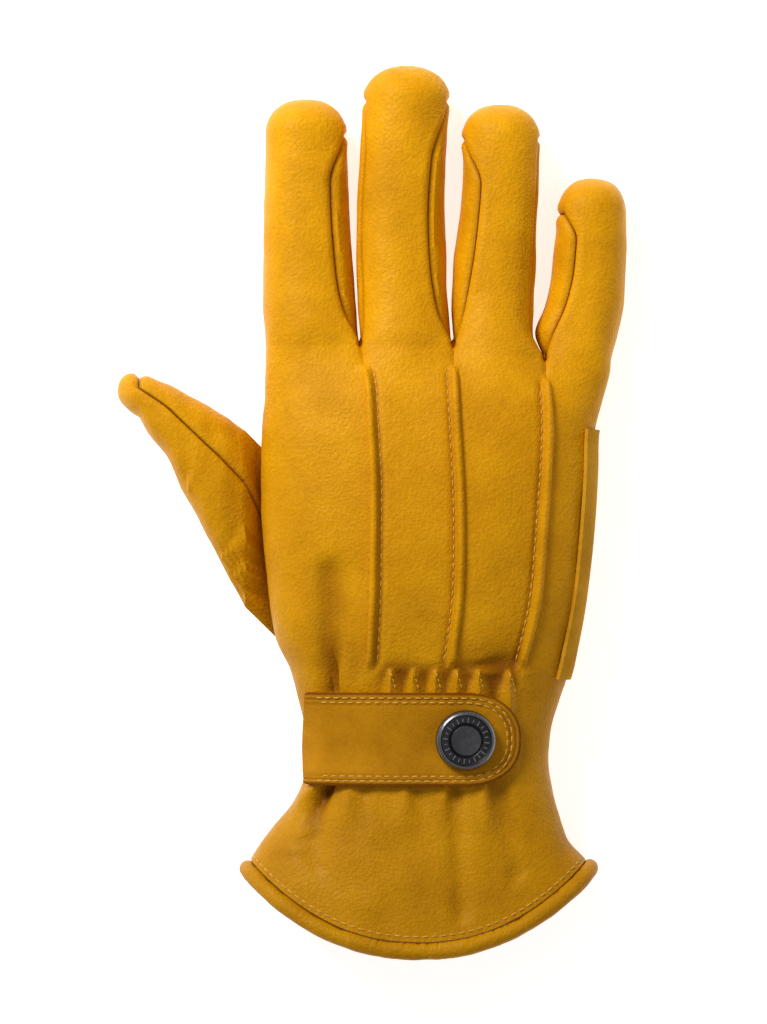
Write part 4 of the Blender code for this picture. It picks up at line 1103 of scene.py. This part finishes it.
def thread_stitches(solid, path, pitch=STITCH_PITCH, stitch=STITCH_LENGTH, radius=THREAD_RADIUS):
    """Adds a row of short round stitches along a path of (point, normal) pairs."""
    points = [Vector(p) for p, _ in path]
    ups = [Vector(n) for _, n in path]
    marks = [0.0]
    for a, b in zip(points, points[1:]):
        marks.append(marks[-1] + (b - a).length)

    def at(distance):
        place = int(np.clip(np.searchsorted(marks, distance) - 1, 0, len(points) - 2))
        t = (distance - marks[place]) / max(marks[place + 1] - marks[place], STITCH_LEAST)
        return points[place].lerp(points[place + 1], t), ups[place].lerp(ups[place + 1], t).normalized()

    turns = [2 * math.pi * n / STITCH_SIDES for n in range(STITCH_SIDES)]
    distance = 0.0
    while distance + stitch <= marks[-1]:
        rings = []
        for share, height, size in STITCH_SHAPE:
            here = distance + share * stitch
            place, up = at(here)
            way = at(min(here + STITCH_LOOK, marks[-1]))[0] - at(max(here - STITCH_LOOK, 0))[0]
            way.normalize()
            across = way.cross(up).normalized()
            middle = place + up * radius * height
            rings.append([solid.verts.new(middle + radius * size * (math.cos(t) * across + math.sin(t) * up))
                          for t in turns])
        for low, high in zip(rings, rings[1:]):
            for n in range(STITCH_SIDES):
                after = (n + 1) % STITCH_SIDES
                solid.faces.new((low[n], low[after], high[after], high[n]))
        solid.faces.new(rings[0][::-1])
        solid.faces.new(rings[-1])
        distance += pitch


def on_surface(tree, places):
    """Drops (x, y) places onto a surface from above."""
    path = []
    for x, y in places:
        hit, normal, _, _ = tree.ray_cast(Vector((x, y, DROP_HEIGHT)), Vector((0, 0, -1)))
        if hit is not None:
            path.append((hit, normal if normal.z > 0 else -normal))
    return path


def tree_of(thing):
    mesh = thing.data
    corners = [tuple(p.vertices) for p in mesh.polygons]
    return BVHTree.FromPolygons([v.co.copy() for v in mesh.vertices], corners)


def node_material(name):
    material = bpy.data.materials.new(name)
    material.use_nodes = True
    tree = material.node_tree
    return material, tree, tree.nodes["Principled BSDF"]


def add_node(tree, kind, **values):
    made = tree.nodes.new(kind)
    for key, value in values.items():
        setattr(made, key, value)
    return made


def noise_node(tree, where, scale, detail=4.0, rough=0.55):
    made = add_node(tree, "ShaderNodeTexNoise")
    made.inputs["Scale"].default_value = scale
    made.inputs["Detail"].default_value = detail
    made.inputs["Roughness"].default_value = rough
    tree.links.new(where.outputs["Object"], made.inputs["Vector"])
    return made


def ramp_node(tree, source, stops):
    made = add_node(tree, "ShaderNodeValToRGB")
    for element, (place, colour) in zip(made.color_ramp.elements, (stops[0], stops[-1])):
        element.position, element.color = place, (*colour, 1)
    for place, colour in stops[1:-1]:
        made.color_ramp.elements.new(place).color = (*colour, 1)
    tree.links.new(source, made.inputs["Fac"])
    return made


def mix_node(tree, kind, factor, a, b):
    made = add_node(tree, "ShaderNodeMix", data_type="RGBA", blend_type=kind)
    for socket, value in ((made.inputs["Factor"], factor), (made.inputs["A"], a), (made.inputs["B"], b)):
        if isinstance(value, (int, float)):
            socket.default_value = value
        elif isinstance(value, tuple):
            socket.default_value = (*value, 1)
        else:
            tree.links.new(value, socket)
    return made.outputs["Result"]


def bump_node(tree, source, strength, distance, shader):
    made = add_node(tree, "ShaderNodeBump")
    made.inputs["Strength"].default_value = strength
    made.inputs["Distance"].default_value = distance
    tree.links.new(source, made.inputs["Height"])
    tree.links.new(made.outputs["Normal"], shader.inputs["Normal"])


def leather_material(name, rough, grain, pore, paints_crease_shade, tone_share, light, middle, deep):
    """Dyed leather: cloudy colour, pebbled grain, and painted shade in its creases, seams, folds and dents.
    """
    material, tree, shader = node_material(name)
    where = add_node(tree, "ShaderNodeTexCoord")
    cloudy = noise_node(tree, where, 60.0, 6.0)
    colour = ramp_node(tree, cloudy.outputs["Fac"], ((0.28, deep), (0.50, middle), (0.72, light)))
    place = add_node(tree, "ShaderNodeSeparateXYZ")
    tree.links.new(where.outputs["Object"], place.inputs["Vector"])
    level = add_node(tree, "ShaderNodeMapRange")
    start, reach = TONES[0][0], TONES[-1][0] - TONES[0][0]
    level.inputs["From Min"].default_value, level.inputs["From Max"].default_value = start, start + reach
    tree.links.new(place.outputs["Y"], level.inputs["Value"])
    stops = [((y - start) / reach, (share,) * 3) for y, share in TONES]
    tone = ramp_node(tree, level.outputs["Result"], stops)
    colour = mix_node(tree, "MULTIPLY", tone_share, colour.outputs["Color"], tone.outputs["Color"])
    speckle = noise_node(tree, where, 900.0, 3.0, 0.7)
    fine = ramp_node(tree, speckle.outputs["Fac"], ((0.32, (0.80, 0.76, 0.70)), (0.60, (1.0, 1.0, 1.0))))
    colour = mix_node(tree, "MULTIPLY", 0.55, colour, fine.outputs["Color"])
    # Painted shade: darkens the colour where the painted_shade attribute is high
    if paints_crease_shade:
        painted_shade = add_node(tree, "ShaderNodeAttribute", attribute_name="painted_shade")
        dark = ramp_node(tree, painted_shade.outputs["Fac"], ((0.12, (1.0, 1.0, 1.0)), (1.0, PAINTED_CREASE_SHADE)))
        colour = mix_node(tree, "MULTIPLY", 1.0, colour, dark.outputs["Color"])
    tree.links.new(colour, shader.inputs["Base Color"])
    uneven = ramp_node(tree, cloudy.outputs["Fac"], ((0.3, (rough + 0.08,) * 3), (0.7, (rough - 0.07,) * 3)))
    tree.links.new(uneven.outputs["Color"], shader.inputs["Roughness"])
    shader.inputs["Specular IOR Level"].default_value = 0.08
    pebbles = add_node(tree, "ShaderNodeTexVoronoi", feature="SMOOTH_F1")
    pebbles.inputs["Scale"].default_value = pore
    pebbles.inputs["Smoothness"].default_value = 0.6
    tree.links.new(where.outputs["Object"], pebbles.inputs["Vector"])
    creases = noise_node(tree, where, 240.0, 6.0, 0.62)
    both = add_node(tree, "ShaderNodeMath", operation="MULTIPLY_ADD")
    tree.links.new(creases.outputs["Fac"], both.inputs[0])
    both.inputs[1].default_value = 1.6
    tree.links.new(pebbles.outputs["Distance"], both.inputs[2])
    bump_node(tree, both.outputs[0], grain, 0.0005, shader)
    return material


def metal_material(name):
    """Blackened metal, rubbed bright on its raised edges, with painted highlight on the outer rim."""
    material, tree, shader = node_material(name)
    where = add_node(tree, "ShaderNodeTexCoord")
    worn = noise_node(tree, where, 700.0, 4.0)
    wear_and_highlight = add_node(tree, "ShaderNodeAttribute", attribute_name="wear_and_highlight")
    tint = mix_node(tree, "MIX", wear_and_highlight.outputs["Fac"], METAL_DARK, METAL_BRIGHT)
    spots = ramp_node(tree, worn.outputs["Fac"], ((0.35, (0.75, 0.75, 0.75)), (0.7, (1.0, 1.0, 1.0))))
    tint = mix_node(tree, "MULTIPLY", 1.0, tint, spots.outputs["Color"])
    tree.links.new(tint, shader.inputs["Base Color"])
    shader.inputs["Metallic"].default_value = 1.0
    shader.inputs["Roughness"].default_value = METAL_ROUGHNESS
    bump_node(tree, worn.outputs["Fac"], 0.12, 0.0002, shader)
    return material


def thread_material():
    material, tree, shader = node_material("waxed_thread")
    where = add_node(tree, "ShaderNodeTexCoord")
    twist = noise_node(tree, where, 1500.0, 2.0)
    tint = ramp_node(tree, twist.outputs["Fac"], ((0.3, THREAD_DEEP), (0.7, THREAD_LIGHT)))
    tree.links.new(tint.outputs["Color"], shader.inputs["Base Color"])
    shader.inputs["Roughness"].default_value = 0.6
    return material


def fine_strap():
    """The strap with pressed, stitched edges and a raw cut side."""
    middle = STRAP_ALONG * HAND_LENGTH
    left, right, _, _ = trunk_section(STRAP_ALONG)
    first = trunk_angle_at(STRAP_ALONG, STRAP_START * HAND_WIDTH, True)
    end = (1 - STRAP_LAST) * STRAP_ROUND + STRAP_LAST * STRAP_TIP
    last = trunk_angle_at(STRAP_ALONG, end * HAND_WIDTH, True)
    crossing = [math.sin(math.pi / 2 * (2 * row / STRAP_ROWS - 1)) for row in range(STRAP_ROWS + 1)]
    columns = []
    for n in range(STRAP_COLUMNS + 1):
        share = 1 - (1 - n / STRAP_COLUMNS) ** STRAP_CROWDING
        angle = first + (last - first) * share
        x = (left + right) / 2 + (right - left) / 2 * float(power(math.cos(angle), 2 / TOP_ROUNDNESS))
        half = float(strap_half_width(x))
        columns.append([strap_point(x, middle + half * place) for place in crossing])
    sheet, grid = open_sheet(list(zip(*columns)))
    sewn_end = {row[0] for row in grid[1:-1]}
    tree = nearest_tree([v.co.copy() for v in sheet.verts if v.is_boundary and v not in sewn_end])
    solid = bmesh.new()
    over, under = [], []
    shade = solid.verts.layers.float.new("painted_shade")
    for vertex in sheet.verts:
        away = tree.find(vertex.co)[2]
        pressed = STRAP_PRESS * math.exp(-(away / STRAP_PRESS_REACH) ** 2)
        for row in STRAP_STITCHES:
            pressed += STITCH_PRESS * math.exp(-((away - row) / STITCH_PRESS_REACH) ** 2)
        uneven = noise.fractal(vertex.co * 120, 1.0, 2.0, 3) * STRAP_UNEVEN
        height = STRAP_CLEARANCE + STRAP_THICKNESS - pressed + uneven
        over.append(solid.verts.new(vertex.co + vertex.normal * height))
        # Painted shade in the pressed edge and along the stitch rows
        over[-1][shade] = pressed / STRAP_SHADE
        under.append(solid.verts.new(vertex.co + vertex.normal * STRAP_CLEARANCE))
    close_sheet(sheet, solid, under, over)
    return solid


def strap_outline(inset):
    """Places of a stitch row this far inside the strap's edge, in order round it."""
    middle = STRAP_ALONG * HAND_LENGTH
    half, start, tip = STRAP_WIDTH / 2 - inset, STRAP_ROUND * HAND_WIDTH, STRAP_TIP * HAND_WIDTH - inset
    begin = STRAP_START * HAND_WIDTH + inset
    straight = [float(x) for x in np.linspace(begin, start, 60)]
    bend = []
    for turn in np.linspace(math.pi / 2, -math.pi / 2, 90)[1:-1]:
        out, up = (float(power(ratio, 2 / STRAP_END_ROUNDNESS)) for ratio in (math.cos(turn), math.sin(turn)))
        bend.append((start + (tip - start) * out, middle + half * up))
    return [(x, middle + half) for x in straight] + bend + [(x, middle - half) for x in straight[::-1]]


def fine_hem():
    """The rolled hem, a closed tube round the mouth, pinched by its stitches."""
    edge, above = hem_ring()
    radius = HEM_ROLL / 2
    solid = bmesh.new()
    count = len(edge)
    loops = []
    for n in range(count):
        outward = Vector(edge[n] - above[n]).normalized()
        around = Vector(edge[(n + 1) % count] - edge[n - 1]).normalized()
        normal = outward.cross(around).normalized()
        outward = around.cross(normal).normalized()
        centre = Vector(edge[n]) - normal * LEATHER / 2 + outward * (radius + SEAM_GAP / 2)
        ring = []
        for side in range(HEM_SIDES):
            turn = 2 * math.pi * side / HEM_SIDES
            way = math.cos(turn) * outward + math.sin(turn) * normal
            uneven = noise.fractal((centre + way * radius) * 160, 1.0, 2.0, 3) * HEM_UNEVEN
            nick = max(0.0, math.sin(n * 1.9 + 2 * math.sin(n * 0.37))) ** 6 * max(0, -math.cos(turn))
            point = centre + way * (radius + min(uneven - HEM_NICK * nick, HEM_SWELL))
            point.z = max(point.z, 0.0)
            ring.append(solid.verts.new(point))
        loops.append(ring)
    for n in range(count):
        here, after = loops[n], loops[(n + 1) % count]
        for side in range(HEM_SIDES):
            up = (side + 1) % HEM_SIDES
            solid.faces.new((here[side], here[up], after[up], after[side]))
    bmesh.ops.recalc_face_normals(solid, faces=solid.faces)
    return solid


def fine_patch():
    """The heel patch with its raw edge."""
    rows = []
    for along in (a for a in fine_rows() if PATCH_END <= a <= PATCH_START):
        back = list(strip_row(3, along, True))[-PATCH_KEPT:]
        palm, inner = (list(strip_row(strip, along, False))[:-1][::-1] for strip in (3, 2))
        rows.append(back + palm + inner[:PALM_STEPS * 2 // 3])
    sheet, _ = open_sheet(rows)
    ways = mitred_normals(sheet)
    solid = bmesh.new()
    under, over = ([solid.verts.new(v.co + ways[v.index] * height) for v in sheet.verts]
                   for height in (SEAM_GAP, SEAM_GAP + PATCH_THICKNESS))
    close_sheet(sheet, solid, under, over)
    bmesh.ops.triangulate(solid, faces=solid.faces)
    return solid


def fine_snap():
    """The snap's cap: bevelled rim, sunken ring with plain ticks, grooved disc."""
    radius, height = SNAP_DIAMETER / 2, SNAP_HEIGHT
    solid = turned([(out * radius, up * height) for out, up in SNAP_PROFILE], SNAP_SIDES)
    wear_and_highlight = solid.verts.layers.float.new("wear_and_highlight")
    for vertex in solid.verts:
        across = math.hypot(vertex.co.x, vertex.co.y) / radius
        vertex[wear_and_highlight] = next(bright for limit, bright in SNAP_WEAR_AND_HIGHLIGHT if across > limit)
    cap = set(solid.verts)
    for number in range(SNAP_TICKS):
        turn = 2 * math.pi * number / SNAP_TICKS
        size = (TICK_LENGTHS[number % 2] * radius, TICK_WIDTH * radius, TICK_HEIGHT * height, 1)
        place = Matrix.Translation((TICK_AT * radius, 0, TICK_LEVEL * height))
        matrix = Matrix.Rotation(turn, 4, "Z") @ place @ Matrix.Diagonal(size)
        bmesh.ops.create_cube(solid, size=1.0, matrix=matrix)
    for vertex in solid.verts:
        if vertex not in cap:
            vertex[wear_and_highlight] = TICK_RUBBED
    return solid


def camera_and_light():
    """A camera straight above, at the photo's framing, and soft light from the upper left."""
    camera = bpy.data.objects.new("camera", bpy.data.cameras.new("camera"))
    bpy.context.scene.collection.objects.link(camera)
    bpy.context.scene.camera = camera
    camera.location = (VIEW_X, VIEW_Y, VIEW_LEVEL + VIEW_DISTANCE)
    camera.data.lens = camera.data.sensor_width * VIEW_DISTANCE / VIEW_HEIGHT
    for name, place, size, watts in LAMPS:
        lamp = bpy.data.lights.new(name, "AREA")
        lamp.size = size
        lamp.energy = watts
        thing = bpy.data.objects.new(name, lamp)
        bpy.context.scene.collection.objects.link(thing)
        thing.location = place
        thing.rotation_euler = (-Vector(place)).to_track_quat("-Z", "Y").to_euler()
    world = bpy.data.worlds.new("studio")
    bpy.context.scene.world = world
    world.use_nodes = True
    background = world.node_tree.nodes["Background"]
    background.inputs["Color"].default_value = (1, 1, 1, 1)
    background.inputs["Strength"].default_value = WORLD_LIGHT
    bpy.context.scene.view_settings.view_transform = "Standard"
    floor = bpy.data.meshes.new("floor")
    corners = [(x * FLOOR_EDGE, y * FLOOR_EDGE, 0) for x, y in ((-1, -1), (1, -1), (1, 1), (-1, 1))]
    floor.from_pydata(corners, [], [(0, 1, 2, 3)])
    material, _, shader = node_material("floor")
    shader.inputs["Base Color"].default_value = (*FLOOR_COLOUR, 1)
    shader.inputs["Roughness"].default_value = 0.8
    shader.inputs["Emission Color"].default_value = (1, 1, 1, 1)
    shader.inputs["Emission Strength"].default_value = FLOOR_GLOW
    floor.materials.append(material)
    thing = bpy.data.objects.new("floor", floor)
    thing.location.z = FLOOR_LEVEL
    bpy.context.scene.collection.objects.link(thing)


camera_and_light()
leather, nubuck, suede = (leather_material(*row) for row in LEATHERS)
metal = metal_material("dark_nickel")
thread = thread_material()

skin = Skin()
add_trunk(skin)
add_fingers(skin)
add_thumb(skin)
skin.weld()
normals = mitred_normals(skin.mesh)
pieces = {}
for panel in skin.panels:
    solid = panel_mesh(skin, normals, panel)
    pieces[panel] = piece_from(solid, panel + "_leather", panel, leather)
pieces["hem_roll"] = piece_from(fine_hem(), "hem_roll_leather", "hem_roll", leather)
pieces["palm_patch"] = piece_from(fine_patch(), "palm_patch_suede", "palm_patch", suede)
pieces["wrist_strap"] = piece_from(fine_strap(), "wrist_strap_nubuck", "wrist_strap", nubuck)

seat, facing = snap_seat()
snap = fine_snap()
placed = Matrix.Translation(seat) @ facing.to_track_quat("Z", "Y").to_matrix().to_4x4()
bmesh.ops.transform(snap, matrix=placed, verts=snap.verts)
pieces["snap_cap"] = piece_from(snap, "snap_cap_metal", "snap_cap", metal, sharp=30)

back_tree, strap_tree = tree_of(pieces["back_panel"]), tree_of(pieces["wrist_strap"])
stitches = bmesh.new()
for line in range(3):
    side = 1 if line == 0 else -1
    places = []
    for along in np.linspace(TUCK_START + 0.01, TUCK_END - 0.02, 160):
        x = float(tuck_x(line, along)) + side * TUCK_STITCH
        places.append((x, float(trunk_y(along, x, line, 1.0))))
    thread_stitches(stitches, on_surface(back_tree, places))
for place in PLEATS:
    run = 0.7 * PLEAT_WIDTH[1]
    places = [(HAND_WIDTH * (place + run * share), along_to_y(PLEAT_TIP + (PLEAT_FOOT - PLEAT_TIP) * share))
              for share in np.linspace(0.05, 1.0, 12)]
    thread_stitches(stitches, on_surface(back_tree, places), *PLEAT_STITCH)
spots = [Vector(a) + Vector(b - a).normalized() * HEM_STITCH
         for a, b in zip(*hem_ring()) if a[2] > 0.5 * HAND_DEPTH]
hem_line = sorted((spot.x, spot.y) for spot in spots)
thread_stitches(stitches, on_surface(back_tree, hem_line), radius=HEM_THREAD)
for inset in STRAP_STITCHES:
    thread_stitches(stitches, on_surface(strap_tree, strap_outline(inset)))
pieces["stitches"] = piece_from(stitches, "stitches", None, thread, replaces=False, sharp=60)

everything = [tuple(v.co) for piece in pieces.values() for v in piece.data.vertices]
low, high = np.min(everything, 0), np.max(everything, 0)
cad_low, cad_high = (np.array(corner) for corner in CAD_BOX)
move = Vector((cad_low + cad_high - low - high) / 2)
move.z = -min(float(low[2]), 0.0)
for piece in pieces.values():
    piece.data.transform(Matrix.Translation(move))
